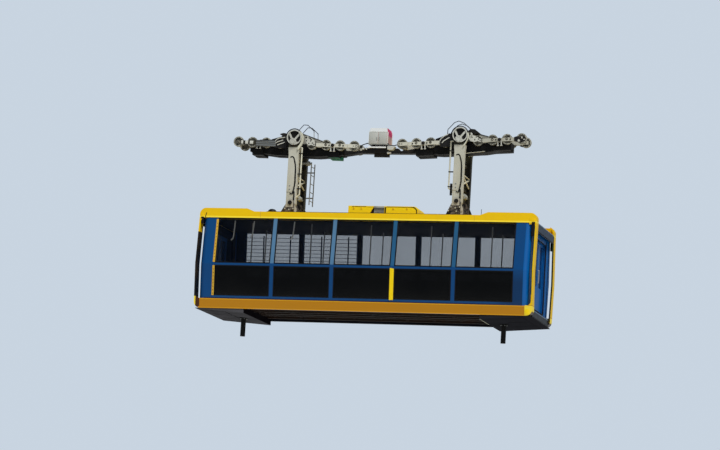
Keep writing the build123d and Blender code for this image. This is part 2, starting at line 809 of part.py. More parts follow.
def slatted_cover(side):
    """Return the slatted cover on the near balance beam of the left carriage's outer arm."""
    face = -(outer_plate_y + rocker_plate)
    back = (face, face - cover_depth + cover_wall)
    low, high = cover_up
    outer = [(cover_along[0], low), (cover_along[1], low), (cover_along[1], high), (cover_along[0], high)]
    cover = carriage_plate(side, outer, (face, face - cover_depth))
    inside = [
        (cover_along[0] + cover_wall, low + cover_wall), (cover_along[1] - cover_wall, low + cover_wall),
        (cover_along[1] - cover_wall, high - cover_wall), (cover_along[0] + cover_wall, high - cover_wall),
    ]
    cover -= carriage_plate(side, inside, back)
    slat_pitch = (high - low) / cover_slats
    for i in range(1, cover_slats):
        middle = low + slat_pitch * i
        groove = [
            (cover_along[0], middle - cover_slat_gap / 2), (cover_along[1], middle - cover_slat_gap / 2),
            (cover_along[1], middle + cover_slat_gap / 2), (cover_along[0], middle + cover_slat_gap / 2),
        ]
        cover -= carriage_plate(side, groove, (face - cover_depth, face - cover_depth + cover_wall / 2))
    return cover


def brake_housings(side):
    """Return the rope brake housings under the two arms of a carriage, a near and a far one each."""
    arms = carriage_arms(side)
    channel = rope_channel(hub_z[side])
    housings = []
    for start, end, low in brake_spans[side]:
        outline = [(start, -brake_top), (end, -brake_top), (end, -low), (start, -low)]
        housings.append(carriage_plate(side, outline, (-brake_half_width, brake_half_width)) - arms - channel)
    return housings


def build_carriages():
    """Write the nodes of the two rope carriages and what joins them."""
    for side in ("left", "right"):
        save(f"carriage_frame_{side}", carriage_frame(side))
        save(f"rocker_beams_{side}", rocker_beams(side))
        save(f"brake_housings_{side}", brake_housings(side))
        for index in range(2 * wheels_per_arm):
            save(f"wheelset_{side}_{index + 1}", wheelset(side, index))
    save("link_beam", link_beam())
    save("control_box", control_box())


def link_beam():
    """Return the beam that joins the two carriages and carries the control box and the haul rope."""
    left = [on_carriage("left", arm_reach + link_gap, -arm_low_end + up) for up in (0.0, link_end_depth)]
    right = [on_carriage("right", -arm_reach - link_gap, -arm_low_end + up) for up in (0.0, link_end_depth)]
    rise, shoulder = link_rise_x
    outline = [
        left[0], (-shoulder, link_low), (shoulder, link_low), right[0], right[1],
        (shoulder, link_low + link_end_depth / 2), (rise, link_high), (-rise, link_high),
        (-shoulder, link_low + link_end_depth / 2), left[1],
    ]
    beam = plate_xz(outline, (-link_half_width, link_half_width)) - rope_channel(haul_rope_z + rope_way_rise)
    beam += block(
        (-socket_length / 2, socket_length / 2), (-socket_half, socket_half), (haul_rope_z - socket_half, link_low)
    )
    beam -= Pos(0, 0, haul_rope_z) * Rot(0, 90, 0) * Cylinder(haul_rope_radius, socket_length)
    beam += block(box_x, (-box_half_width, box_half_width), (link_high, link_high + tray_thickness))
    for x in (box_x[0] + box_leg_inset, box_x[1] - box_leg_inset):
        beam += block((x - box_leg / 2, x + box_leg / 2), (-link_half_width, link_half_width), (link_high, box_low))
    return beam


def control_box():
    """Return the pale control box between the carriages, its top drawn in on all four sides."""
    inward, drop = box_slope
    length = box_x[1] - box_x[0]
    middle = (box_x[0] + box_x[1]) / 2
    top = box_low + box_height
    lower = block(box_x, (-box_half_width, box_half_width), (box_low, top - drop))
    foot = Pos(middle, 0, top - drop) * Rectangle(length, 2 * box_half_width)
    head = Pos(middle, 0, top) * Rectangle(length - 2 * inward, 2 * box_half_width - 2 * inward)
    return lower + loft([foot, head], ruled=True)


if __name__ == "__main__":
    os.makedirs("parts", exist_ok=True)
    build_cabin()
    build_hangers()
    build_carriages()
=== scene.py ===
"""A large aerial cable car under two hangers and two rope carriages, dressed around its frame.

Metres, in the frame's own axes: X along the cabin, the near side faces -Y, Z up, and the origin on
the axis of the track ropes, midway between the two carriages.
"""
import logging
import math
from dataclasses import dataclass, field
from enum import StrEnum
from typing import Any, Callable, Optional, Sequence, Union

import bpy
from mathutils import Matrix, Vector

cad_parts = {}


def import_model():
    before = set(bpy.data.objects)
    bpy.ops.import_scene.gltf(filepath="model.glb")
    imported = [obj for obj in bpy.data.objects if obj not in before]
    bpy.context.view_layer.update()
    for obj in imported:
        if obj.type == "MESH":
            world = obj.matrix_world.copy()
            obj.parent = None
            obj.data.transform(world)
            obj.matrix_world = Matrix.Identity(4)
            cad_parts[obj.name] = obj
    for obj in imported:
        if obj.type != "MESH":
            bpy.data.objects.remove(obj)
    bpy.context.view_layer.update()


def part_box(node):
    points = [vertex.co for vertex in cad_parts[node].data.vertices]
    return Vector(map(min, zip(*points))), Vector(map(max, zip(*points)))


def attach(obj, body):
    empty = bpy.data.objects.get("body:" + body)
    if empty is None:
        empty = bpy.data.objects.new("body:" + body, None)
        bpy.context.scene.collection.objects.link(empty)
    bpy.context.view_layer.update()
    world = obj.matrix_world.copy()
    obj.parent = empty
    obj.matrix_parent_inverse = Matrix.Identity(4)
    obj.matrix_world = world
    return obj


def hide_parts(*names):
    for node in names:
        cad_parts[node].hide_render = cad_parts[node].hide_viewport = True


LOG = logging.getLogger("cable_car")
PHOTO_WIDTH = 720
BASE_Z = -5.475
Point = tuple[float, float, float]
Flat = tuple[float, float]
Colour = tuple[float, float, float]
Line = tuple[Flat, ...]
Row = tuple[float, ...]
Part = bpy.types.Object
Material = bpy.types.Material
SIGNS = (-1, 1)
UP = (0.0, 0.0, 1.0)
DOWN = (0.0, 0.0, -1.0)
CABIN = "cabin"
CARRIAGES = "rope_carriages"
SHARP_DEGREES = 30.0


def paint(red: int, green: int, blue: int) -> Colour:
    """Return the linear colour of three screen values from 0 to 255."""
    return tuple((value / 255.0) ** 2.2 for value in (red, green, blue))


def across(reach: float) -> Point:
    """Return a step or a place along Y, across the cabin."""
    return 0.0, reach, 0.0


def oblong(left: float, right: float, low: float, high: float) -> list[Flat]:
    """Return the corners of an upright oblong, in order round it."""
    return [(left, low), (right, low), (right, high), (left, high)]


def circle_places(count: int, radius: float) -> list[Flat]:
    """Return places at even steps round a circle."""
    angles = [math.tau * turn / count for turn in range(count)]
    return [(radius * math.cos(angle), radius * math.sin(angle)) for angle in angles]


def facing(axis: Point) -> Matrix:
    """Return the turn that brings the Z axis to a direction."""
    return Vector(axis).to_track_quat("Z", "Y").to_matrix().to_4x4()


def band(points: Sequence[Flat], width: float) -> list[Flat]:
    """Outline a strip of even width along a line.

    Args:
        points: the line's points.
        width: the strip's width.

    Returns:
        The outline's corners in order.
    """
    left, right = [], []
    for index, (x, z) in enumerate(points):
        before = points[max(index - 1, 0)]
        after = points[min(index + 1, len(points) - 1)]
        along = Vector((after[0] - before[0], after[1] - before[1])).normalized()
        left.append((x - along.y * width / 2, z + along.x * width / 2))
        right.append((x + along.y * width / 2, z - along.x * width / 2))
    return left + right[::-1]


class Side(StrEnum):
    """The two ends of the car, each with its hanger and carriage."""

    LEFT = "left"
    RIGHT = "right"

    @property
    def sign(self) -> int:
        """Return -1 for the left end and 1 for the right."""
        return -1 if self is Side.LEFT else 1


class Flank(StrEnum):
    """The two long sides of the car."""

    NEAR = "near"
    FAR = "far"

    @property
    def sign(self) -> int:
        """Return -1 for the near side and 1 for the far one."""
        return -1 if self is Flank.NEAR else 1


class Slot(StrEnum):
    """The record's material slots, one named for each new piece."""

    DARK = "dark_steel"
    GREY = "grey_steel"
    PALE = "pale_steel"
    CREAM = "cream_steel"
    ZINC = "galvanised"
    UNDER = "underside"
    BLACK = "black_steel"
    YELLOW = "yellow_paint"
    NAVY = "navy_paint"
    BLUE = "blue_paint"
    WHEEL = "wheel_steel"


def by_side(left: Any, right: Any) -> Any:
    """Return a field with one value for the left end and one for the right."""
    return field(default_factory=lambda: {Side.LEFT: left, Side.RIGHT: right})


@dataclass(frozen=True)
class Frame:
    """The car's own sizes, in metres, as its solids have them."""

    half_length: float = 5.525
    body_half: float = 5.38
    rail_width: float = 3.3
    side_lean: float = 0.14
    rail_height: float = 1.414
    rail_depth: float = 0.1
    band_height: float = 0.31
    sill_height: float = 0.41
    window_top: float = 2.932
    roof_height: float = 2.97
    parapet: float = 3.146
    mullion_pitch: float = 1.98
    mullion: float = 0.15
    bays: int = 5
    hanger_middle: float = -0.05
    hanger_x: float = 2.75
    hub_mid: float = 0.17
    hub_rise: float = 0.135
    hanger_length: float = 1.98
    leg_y: float = 0.5
    leg_half_depth: float = 0.095
    first_wheel: float = 0.54
    wheel_pitch: float = 0.472
    wheels_per_arm: int = 4
    rope_y: float = 0.35
    pod_start: float = 3.85
    post_x: float = 4.31

    @property
    def pin_along(self) -> float:
        """Return where a balance beam's pin lies along a carriage's arm."""
        return self.wheel((self.wheels_per_arm - 1) / 2)

    def wheel(self, step: float) -> float:
        """Return where a wheel's axle lies along an arm, or a place between two of them."""
        return self.first_wheel + self.wheel_pitch * step

    def side_y(self, height: float) -> float:
        """Find where the leaning side wall stands.

        Args:
            height: the height over the cabin's base.

        Returns:
            How far the wall's outer face is from the centre plane.
        """
        widest = self.rail_width / 2
        if height < self.rail_height:
            return widest - self.side_lean * (self.rail_height - height) / self.rail_height
        rise = self.window_top - self.rail_height
        return widest - self.side_lean * (height - self.rail_height) / rise

    def hub(self, side: Side) -> Vector:
        """Return the middle of a hanger's hub."""
        x = self.hanger_middle + side.sign * self.hanger_x
        return Vector((x, 0.0, self.hub_mid + side.sign * self.hub_rise / 2))

    def line(self, side: Side) -> Matrix:
        """Return the placing of a carriage: along its arms, across, and square to its rope line."""
        pitch = -1.6 if side is Side.LEFT else 3.1
        return Matrix.Translation(self.hub(side)) @ Matrix.Rotation(-math.radians(pitch), 4, "Y")

    def bay(self, index: int) -> Flat:
        """Find one window bay.

        Args:
            index: its number from the left, from 0.

        Returns:
            Where it starts and ends along X.
        """
        centre = (index - (self.bays - 1) / 2) * self.mullion_pitch
        half = (self.mullion_pitch - self.mullion) / 2
        return centre - half, centre + half


FRAME = Frame()


class Wire:
    """One value inside a material, with arithmetic that adds its Math nodes."""

    def __init__(self, graph: "Graph", socket: bpy.types.NodeSocket) -> None:
        """Keep the graph and the socket that carries the value."""
        self.graph = graph
        self.socket = socket

    def _join(self, operation: str, first: "Value", second: "Value") -> "Wire":
        """Add one Math node on two values."""
        return self.graph.node("ShaderNodeMath", {"operation": operation}, {0: first, 1: second})

    def __add__(self, other: "Value") -> "Wire":
        """Return the sum."""
        return self._join("ADD", self, other)

    __radd__ = __add__

    def __sub__(self, other: "Value") -> "Wire":
        """Return the difference."""
        return self._join("SUBTRACT", self, other)

    def __rsub__(self, other: "Value") -> "Wire":
        """Return the difference from a plain number."""
        return self._join("SUBTRACT", other, self)

    def __mul__(self, other: "Value") -> "Wire":
        """Return the product."""
        return self._join("MULTIPLY", self, other)

    __rmul__ = __mul__

    def clamp(self) -> "Wire":
        """Return the value held between 0 and 1."""
        return self.graph.node("ShaderNodeClamp", {}, {"Value": self})

    def size(self) -> "Wire":
        """Return the value without its sign."""
        return self.graph.node("ShaderNodeMath", {"operation": "ABSOLUTE"}, {0: self})

    def over(self, edge: float, soft: float) -> "Wire":
        """Return 1 above an edge and 0 below it, over a soft step."""
        return ((self - (edge - soft / 2)) * (1.0 / soft)).clamp()


Value = Union[Wire, float]


class Graph:
    """The nodes of one material."""

    def __init__(self, name: str) -> None:
        """Start a material with its main shader.

        Args:
            name: the material's name.
        """
        self.material = bpy.data.materials.new(name)
        self.material.use_nodes = True
        self.tree = self.material.node_tree
        self.shader = self.tree.nodes["Principled BSDF"]
        self.coordinates = self.node("ShaderNodeTexCoord", {}, {}, "Object")
        self.facing = self.node("ShaderNodeTexCoord", {}, {}, "Normal")

    def node(self, kind: str, settings: dict, inputs: dict, output: Union[int, str] = 0) -> Wire:
        """Add one node.

        Args:
            kind: the node's type.
            settings: its settings by name.
            inputs: values or wires by socket name or place.
            output: the socket that carries the result.

        Returns:
            The result's wire.
        """
        made = self.tree.nodes.new(kind)
        for key, value in settings.items():
            setattr(made, key, value)
        for key, value in inputs.items():
            if isinstance(value, Wire):
                self.tree.links.new(value.socket, made.inputs[key])
            else:
                made.inputs[key].default_value = value
        return Wire(self, made.outputs[output])

    def noise(self, scale: float, detail: float = 3.0, stretch: Point = (1.0, 1.0, 1.0)) -> Wire:
        """Return cloudy noise from 0 to 1, its pattern stretched along the axes."""
        place = self.node("ShaderNodeMapping", {}, {"Vector": self.coordinates, "Scale": stretch})
        return self.node("ShaderNodeTexNoise", {}, {"Vector": place, "Scale": scale, "Detail": detail})

    def blend(self, factor: Value, low: Union[Wire, Colour], high: Union[Wire, Colour]) -> Wire:
        """Mix two colours.

        Args:
            factor: how much of the second colour shows.
            low: the first colour.
            high: the second colour.

        Returns:
            The mixed colour.
        """
        ends = [end if isinstance(end, Wire) else (*end, 1.0) for end in (low, high)]
        inputs = {0: factor, 6: ends[0], 7: ends[1]}
        return self.node("ShaderNodeMix", {"data_type": "RGBA"}, inputs, 2)

    def axis(self, vector: Wire, index: int) -> Wire:
        """Return one part of a vector."""
        return self.node("ShaderNodeSeparateXYZ", {}, {"Vector": vector}, index)

    def join(self, value: Wire, socket: str) -> None:
        """Link a wire to the main shader."""
        self.tree.links.new(value.socket, self.shader.inputs[socket])

    def fix(self, **values: float) -> None:
        """Set the main shader's own sockets, spaces in their names as underscores."""
        for key, value in values.items():
            self.shader.inputs[key.replace("_", " ")].default_value = value


@dataclass(frozen=True)
class Zone:
    """A part of a surface with its own colour, between two corners and on the faces of one side."""

    colour: Colour
    low: tuple[Optional[float], Optional[float], Optional[float]] = (None, None, None)
    high: tuple[Optional[float], Optional[float], Optional[float]] = (None, None, None)
    facing: Optional[Point] = None
    soft: float = 0.004

    def mask(self, graph: Graph) -> Wire:
        """Mark the zone on a surface.

        Args:
            graph: the material that the zone belongs to.

        Returns:
            1 inside the zone and 0 outside.
        """
        found: Value = 1.0
        for index in range(3):
            if self.low[index] is None and self.high[index] is None:
                continue
            place = graph.axis(graph.coordinates, index)
            if self.low[index] is not None:
                found = place.over(self.low[index], self.soft) * found
            if self.high[index] is not None:
                found = (1.0 - place.over(self.high[index], self.soft)) * found
        if self.facing is not None:
            inputs = {0: graph.facing, 1: self.facing}
            turned = graph.node("ShaderNodeVectorMath", {"operation": "DOT_PRODUCT"}, inputs, "Value")
            found = turned.over(0.3, 0.1) * found
        return found


@dataclass(frozen=True)
class Coat:
    """A painted or bare metal finish, with its soiling, streaks and fine grain."""

    name: str
    colour: Colour
    soiled: Colour
    soiling: float = 0.35
    roughness: float = 0.4
    metallic: float = 0.0
    gloss: float = 0.0
    grain: float = 0.04
    grain_scale: float = 60.0
    grain_depth: float = 0.01
    streaks: float = 0.3
    shine: float = 0.2
    patch_scale: float = 1.7
    zones: tuple[Zone, ...] = ()

    def build(self) -> Material:
        """Build the finish.

        Returns:
            The material.
        """
        graph = Graph(self.name)
        clouds = graph.noise(self.patch_scale, 5.0)
        runs = graph.noise(9.0, 3.0, (1.0, 1.0, 0.08))
        patches = (clouds * (1.0 - self.streaks) + runs * self.streaks).over(0.55, 0.3)
        colour: Union[Wire, Colour] = self.colour
        for zone in self.zones:
            colour = graph.blend(zone.mask(graph), colour, zone.colour)
        graph.join(graph.blend(patches * self.soiling, colour, self.soiled), "Base Color")
        graph.join(patches * 0.15 + self.roughness, "Roughness")
        grain = graph.noise(self.grain_scale, 4.0)
        inputs = {"Strength": self.grain, "Distance": self.grain_depth, "Height": grain}
        graph.join(graph.node("ShaderNodeBump", {}, inputs, "Normal"), "Normal")
        graph.fix(Metallic=self.metallic, Coat_Weight=self.gloss, Specular_IOR_Level=self.shine)
        return graph.material


@dataclass(frozen=True)
class Pane:
    """Tinted glass, darker below the mid rail."""

    name: str
    tint: Colour
    low_tint: Colour
    clear: float
    dark: float
    edge: float = BASE_Z + FRAME.rail_height

    def build(self) -> Material:
        """Build the glass.

        Returns:
            The material.
        """
        graph = Graph(self.name)
        height = graph.axis(graph.coordinates, 2)
        haze = graph.noise(0.9, 3.0)
        cover = (1.0 - height.over(self.edge, 0.02)) * (self.dark - self.clear) + self.clear
        graph.join((cover + haze * 0.06).clamp(), "Alpha")
        upper = graph.blend(haze, self.tint, tuple(c * 1.6 for c in self.tint))
        graph.join(graph.blend(height.over(self.edge, 0.02), self.low_tint, upper), "Base Color")
        graph.join(haze * 0.05 + 0.03, "Roughness")
        graph.fix(IOR=1.5, Specular_IOR_Level=0.25)
        return graph.material


@dataclass(frozen=True)
class Tread:
    """A wheel's finish by the reach from its axle: a worn pale rim, a web darkened as painted shade, and a
    grey hub.
    """

    name: str
    rim: Colour
    web: Colour
    hub: Colour
    soiled: Colour
    rim_reach: float = 0.128
    hub_reach: float = 0.058

    def build(self) -> Material:
        """Build the finish.

        Returns:
            The material.
        """
        graph = Graph(self.name)
        reach = graph.node("ShaderNodeAttribute", {"attribute_name": "reach"}, {}, "Fac")
        clouds = graph.noise(20.0, 2.0).over(0.5, 0.2)
        colour = graph.blend(reach.over(self.rim_reach, 0.004), self.web, self.rim)
        colour = graph.blend(1.0 - reach.over(self.hub_reach, 0.004), colour, self.hub)
        graph.join(graph.blend(clouds * 0.8, colour, self.soiled), "Base Color")
        graph.join(clouds * 0.2 + 0.4, "Roughness")
        graph.fix(Specular_IOR_Level=0.25)
        return graph.material


SUN_YELLOW = paint(236, 190, 8)
EDGE_HIGHLIGHT_YELLOW = paint(255, 224, 60)
LOWER_BAND_SHADE = paint(186, 124, 2)
LOWER_BAND_HIGHLIGHT = paint(214, 150, 20)
DEEP_BLUE = paint(2, 69, 122)
PALE_BLUE = paint(84, 123, 157)
MULLION_BLUE = paint(41, 92, 130)
END_BLUE = paint(4, 90, 158)
NAVY = paint(8, 30, 66)
NEAR_BLACK = paint(20, 20, 22)
CORNER_SHADE_BROWN = paint(70, 36, 14)
DIRT = paint(70, 62, 50)
GREEN = paint(40, 124, 98)
END_BAR_SHADE_GREEN = paint(58, 84, 60)
UNDERSIDE_SHADE_BROWN = paint(44, 22, 12)
CORNER_HIGHLIGHT_BLUE = paint(74, 110, 146)


class Finishes:
    """Every finish of the car, each built once."""

    def __init__(self) -> None:
        """Build the materials."""
        self.frames = {flank: self._frame_yellow(flank) for flank in Flank}
        self.walls = {flank: self._wall_blue(flank) for flank in Flank}
        self.ends = {side: self._end_blue(side) for side in Side}
        self.yellow = self._yellow("yellow_roof", ())
        # A brighter copy of the roof yellow: painted light on the locker, whose front catches less of the
        # lamp than the band.
        self.bright_yellow = Coat("bright_yellow", paint(255, 216, 8), DIRT, 0.05, 0.3, gloss=0.3).build()
        self.gold = Coat("gold_strip", paint(214, 168, 60), paint(120, 84, 30), 0.3, 0.4).build()
        self.door_blue = self._blue("door_blue", END_BLUE, ())
        # Pale blue painted highlight for the top edges of the end fascia and sill.
        self.blue_edge = Coat("pale_blue_edge", paint(120, 140, 165), DIRT, 0.1, 0.4).build()
        self.navy = Coat("navy_trim", NAVY, DIRT, 0.2, 0.35, gloss=0.3).build()
        sill = Zone(paint(22, 27, 34), high=(None, None, BASE_Z + 1.0))
        fascia = paint(30, 48, 68)
        self.fascia = Coat("fascia_paint", fascia, DIRT, 0.15, 0.35, gloss=0.3, zones=(sill,)).build()
        self.ceiling = Coat("ribbed_ceiling", paint(36, 36, 40), paint(14, 14, 16), 0.3, 0.6).build()
        self.floor = Coat("ribbed_floor", paint(46, 38, 33), paint(30, 20, 14), 0.6, 0.8).build()
        # Painted shade: the right housing darker, and the left housing's faces that look towards the middle
        # darker still.
        pod_shade_zones = (
            Zone(paint(44, 44, 48), low=(0.0, None, None)),
            Zone(paint(24, 20, 24), high=(0.0, None, None), facing=(1.0, 0.0, 0.0)),
        )
        grey, soiled = paint(78, 77, 80), paint(36, 36, 38)
        self.pod = Coat("underfloor_housing", grey, soiled, 0.5, 0.8, shine=0.0, zones=pod_shade_zones).build()
        self.girder = Coat("underfloor_girder", paint(30, 22, 17), paint(50, 30, 15), 0.8, 0.75).build()
        self.pod_edge = Coat("pod_edge", paint(190, 186, 160), DIRT, 0.3, 0.5).build()
        self.black = Coat("black_paint", paint(16, 16, 18), DIRT, 0.12, 0.45).build()
        self.rubber = Coat("window_rubber", paint(14, 14, 15), paint(40, 40, 40), 0.2, 0.75).build()
        self.glass = Pane("tinted_glass", paint(8, 16, 28), paint(4, 5, 7), 0.22, 0.92).build()
        self.door_glass = Pane("door_glass", paint(14, 54, 98), paint(14, 54, 98), 0.9, 0.9).build()
        self.foot = self._foot_paint()
        self.steel = Coat("bare_steel", paint(176, 178, 176), paint(90, 84, 74), 0.3, 0.35, 0.6).build()
        pale, soiled = paint(150, 152, 152), paint(96, 94, 90)
        self.zinc = Coat("zinc_steel", pale, soiled, 0.5, 0.5, 0.3, grain_scale=25.0).build()
        self.cream = self._leg_cream()
        pale, soiled = paint(214, 212, 192), paint(120, 112, 92)
        self.pale_cream = Coat("pale_cream", pale, soiled, 0.35, 0.45, streaks=0.6).build()
        self.grey = Coat("grey_paint", paint(164, 166, 158), paint(70, 66, 60), 0.6, 0.5, streaks=0.3).build()
        self.frame_paint = self._carriage_paint()
        self.dark = Coat("dark_machinery", paint(30, 30, 32), DIRT, 0.25, 0.5, streaks=0.4).build()
        bar_zones = (
            Zone(paint(44, 42, 36), high=(-4.13, None, None), soft=0.02),
            Zone(paint(184, 182, 168), low=(3.2, None, None), soft=0.02),
            Zone(paint(82, 82, 80), (-4.16, None, None), (-3.2, -0.4282, None), soft=0.0004),
            Zone(paint(20, 20, 20), (-4.16, None, 0.155), (-3.2, -0.4282, None), soft=0.01),
        )
        cream, soiled = paint(214, 212, 196), paint(110, 104, 84)
        self.light_bar = Coat("light_bar", cream, soiled, 0.35, 0.5, streaks=0.4, zones=bar_zones).build()
        self.ring = Coat("ring_paint", paint(206, 206, 196), paint(110, 104, 88), 0.4, 0.45).build()
        green_zones = (
            Zone(GREEN, (-2.2, None, None), (-0.5, 0.0, -0.325), soft=0.02),
            Zone(GREEN, (-2.2, 0.0, None), (-0.5, None, -0.2), soft=0.02),
        )
        black, soiled = paint(15, 15, 16), paint(40, 37, 32)
        self.housing = Coat("housing_paint", black, soiled, 0.25, 0.6, zones=green_zones).build()
        # The web colour is darker than the rim, painted shade under the balance beams.
        self.wheel = Tread(
            "worn_wheel", paint(178, 176, 162), paint(104, 102, 92), paint(150, 146, 130), paint(34, 32, 26)
        ).build()
        panel_zones = (
            Zone(paint(214, 216, 214), low=(None, None, 0.54)),
            Zone(paint(196, 56, 100), low=(None, None, 0.4), facing=(1.0, 0.0, 0.0), soft=0.1),
            Zone(paint(190, 116, 84), high=(0.235, None, 0.4), facing=(1.0, 0.0, 0.0), soft=0.1),
        )
        self.cabinet = Coat("cabinet_paint", paint(184, 185, 178), DIRT, 0.1, 0.45, zones=panel_zones).build()
        self.cover = Coat("cover_grey", paint(74, 74, 72), DIRT, 0.25, 0.5, streaks=0.3).build()
        self.white = Coat("white_paint", paint(236, 236, 230), DIRT, 0.12, 0.4).build()
        self.roof_grey = Coat("roof_unit_grey", paint(128, 134, 136), paint(84, 82, 78), 0.35, 0.5).build()

    @staticmethod
    def _yellow(name: str, zones: tuple[Zone, ...]) -> Material:
        """Return a yellow finish with its zones."""
        return Coat(name, SUN_YELLOW, paint(160, 118, 20), 0.1, 0.34, gloss=0.2, zones=zones).build()

    @staticmethod
    def _blue(name: str, colour: Colour, zones: tuple[Zone, ...]) -> Material:
        """Return a blue finish with its zones."""
        return Coat(name, colour, paint(10, 44, 80), 0.14, 0.34, gloss=0.25, zones=zones).build()

    @staticmethod
    def _foot_paint() -> Material:
        """Build the feet's finish: black, the near lug's face cream down to the end of its leg.

        Returns:
            The material.
        """
        cream = paint(182, 178, 162)
        zones = []
        for side in Side:
            hub = FRAME.hub(side)
            pin = hub.z - FRAME.hanger_length
            for low_x, high_x, low_z in ((-0.155, 0.105, pin - 0.14), (0.15, 0.235, pin - 0.5)):
                low, high = (hub.x + low_x, None, low_z), (hub.x + high_x, -0.6, None)
                zones.append(Zone(cream, low, high, across(-1)))
        black, soiled = paint(16, 16, 18), paint(150, 140, 128)
        return Coat("foot_paint", black, soiled, 0.6, 0.5, patch_scale=15.0, zones=tuple(zones)).build()

    def _frame_yellow(self, flank: Flank) -> Material:
        """Build a side frame's finish: yellow, with painted light and shade: amber painted shade on the lower
        band, which faces down, painted highlights along its edges, at the end corners and under the roof
        band, painted shade on the end bars, in the left end corner, on faces turned from the lamp and
        underneath; its inside dark.

        Args:
            flank: the frame's long side.

        Returns:
            The material.
        """
        top = BASE_Z + FRAME.window_top
        lower_band_top = BASE_Z + FRAME.band_height
        zones = (
            # Amber painted shade on the lower band, which faces down, with lighter painted highlights along
            # its top and bottom edges.
            Zone(LOWER_BAND_SHADE, high=(None, None, lower_band_top + 0.02)),
            Zone(LOWER_BAND_HIGHLIGHT, (None, None, lower_band_top - 0.03), (None, None, lower_band_top + 0.004)),
            Zone(LOWER_BAND_HIGHLIGHT, high=(None, None, BASE_Z + 0.028)),
            # Painted highlight on the right bottom corner.
            Zone(EDGE_HIGHLIGHT_YELLOW, (5.28, None, None), (None, None, lower_band_top + 0.002)),
            # Painted shade in the left bottom corner and on the left end bar, seen from its shaded side.
            Zone(CORNER_SHADE_BROWN, (None, None, None), (-5.385, None, lower_band_top + 0.03)),
            Zone(NEAR_BLACK, (None, None, lower_band_top + 0.03), (-5.4, None, BASE_Z + 2.46)),
            # Painted highlights on the left bottom corner and along the lower edge of the roof band.
            Zone(EDGE_HIGHLIGHT_YELLOW, high=(-5.475, None, lower_band_top + 0.06)),
            Zone(EDGE_HIGHLIGHT_YELLOW, (None, None, top - 0.002), (None, None, top + 0.05)),
            Zone(NEAR_BLACK, high=(None, None, BASE_Z + 2.94), facing=across(-flank.sign)),
            # Painted shade on the faces turned from the lamp.
            Zone(NEAR_BLACK, (-5.43, None, lower_band_top), (5.43, None, BASE_Z + 2.9), (-1.0, 0.0, 0.0)),
            # Painted shade in the left bottom corner.
            Zone(CORNER_SHADE_BROWN, (-5.47, None, BASE_Z + 0.05), (-5.34, None, lower_band_top + 0.002)),
            # Dull green painted shade on the right end bar.
            Zone(END_BAR_SHADE_GREEN, (5.4, None, lower_band_top + 0.35), (5.489, None, top - 0.1)),
            # Painted shade on the faces that look down.
            Zone(UNDERSIDE_SHADE_BROWN, high=(None, None, BASE_Z + 0.2), facing=DOWN),
        )
        return self._yellow(f"yellow_{flank}", zones)

    def _wall_blue(self, flank: Flank) -> Material:
        """Build a side wall's finish: blue outside, dark inside, its mullions pale, its foot navy, with
        painted shade low at its right end, a painted highlight on the right end's rounded corner and a
        painted shade line at its edge.

        Args:
            flank: the wall's long side.

        Returns:
            The material.
        """
        rail = BASE_Z + FRAME.rail_height + FRAME.rail_depth / 2
        top = BASE_Z + FRAME.window_top
        zones = [Zone(NAVY, high=(None, None, BASE_Z + 0.345))]
        for step in (-1.5, -0.5, 0.5, 1.5):
            x = step * FRAME.mullion_pitch
            half = FRAME.mullion / 2 + 0.01
            colour = PALE_BLUE if step < 0 else MULLION_BLUE
            zones.append(Zone(colour, (x - half, None, rail), (x + half, None, top), soft=0.03))
        shade = tuple(part * 0.55 for part in DEEP_BLUE)
        zones += [
            # Painted shade low at the right end, a painted highlight on the right end's rounded corner, and a
            # dark brown painted shade line at its edge.
            Zone(shade, (4.5, None, None), (None, None, BASE_Z + 1.25), soft=0.45),
            Zone(CORNER_HIGHLIGHT_BLUE, (5.265, None, None), (5.335, None, BASE_Z + 1.9), soft=0.03),
            Zone(CORNER_SHADE_BROWN, (5.36, None, BASE_Z + 0.8), (5.4, None, BASE_Z + 1.5), soft=0.02),
            Zone(NEAR_BLACK, facing=across(-flank.sign)),
        ]
        return self._blue(f"blue_{flank}", DEEP_BLUE, tuple(zones))

    def _end_blue(self, side: Side) -> Material:
        """Build an end wall's finish: blue outside, dark inside, its foot navy.

        Args:
            side: the wall's end of the cabin.

        Returns:
            The material.
        """
        foot = Zone(NAVY, high=(None, None, BASE_Z + 0.3))
        inside = Zone(NEAR_BLACK, facing=(-side.sign, 0.0, 0.0))
        colour = END_BLUE if side is Side.RIGHT else DEEP_BLUE
        return self._blue(f"blue_{side}", colour, (foot, inside))

    @staticmethod
    def _leg_cream() -> Material:
        """Build the legs' finish: cream on the near leg, with painted shade: almost black on the far leg,
        darker between the legs, and black on each leg's head inside its hub ring.

        Returns:
            The material.
        """
        # Painted shade: almost black on the far leg, darker between the legs, and black on each leg's head
        # inside its hub ring.
        far = Zone(paint(26, 24, 23), low=(None, 0.2, None))
        between_shade = Zone(paint(60, 58, 54), low=(None, -0.38, None), high=(None, 0.38, None))
        head_shades = [
            Zone(NEAR_BLACK, (hub.x - 0.3, None, hub.z - 0.155), (hub.x + 0.3, None, None))
            for hub in (FRAME.hub(side) for side in Side)
        ]
        cream, soiled = paint(196, 194, 180), paint(146, 142, 110)
        return Coat("cream_paint", cream, soiled, 0.35, 0.45, streaks=0.6, zones=(far, between_shade, *head_shades)).build()

    @staticmethod
    def _carriage_paint() -> Material:
        """Build the carriage frames' finish: black arms and grey sloping gussets.

        Returns:
            The material.
        """
        zones = []
        for side, low, high in ((Side.LEFT, -0.25, 1.3), (Side.RIGHT, -0.3, 1.3)):
            hub = FRAME.hub(side)
            reach = ((hub.x + low, None, hub.z + 0.02), (hub.x + high, None, hub.z + 0.4))
            zones += [Zone(paint(158, 156, 144), *reach, across(sign), 0.03) for sign in SIGNS]
        black, soiled = paint(11, 11, 12), paint(30, 27, 23)
        return Coat("carriage_paint", black, soiled, 0.3, 0.6, streaks=0.4, zones=tuple(zones)).build()



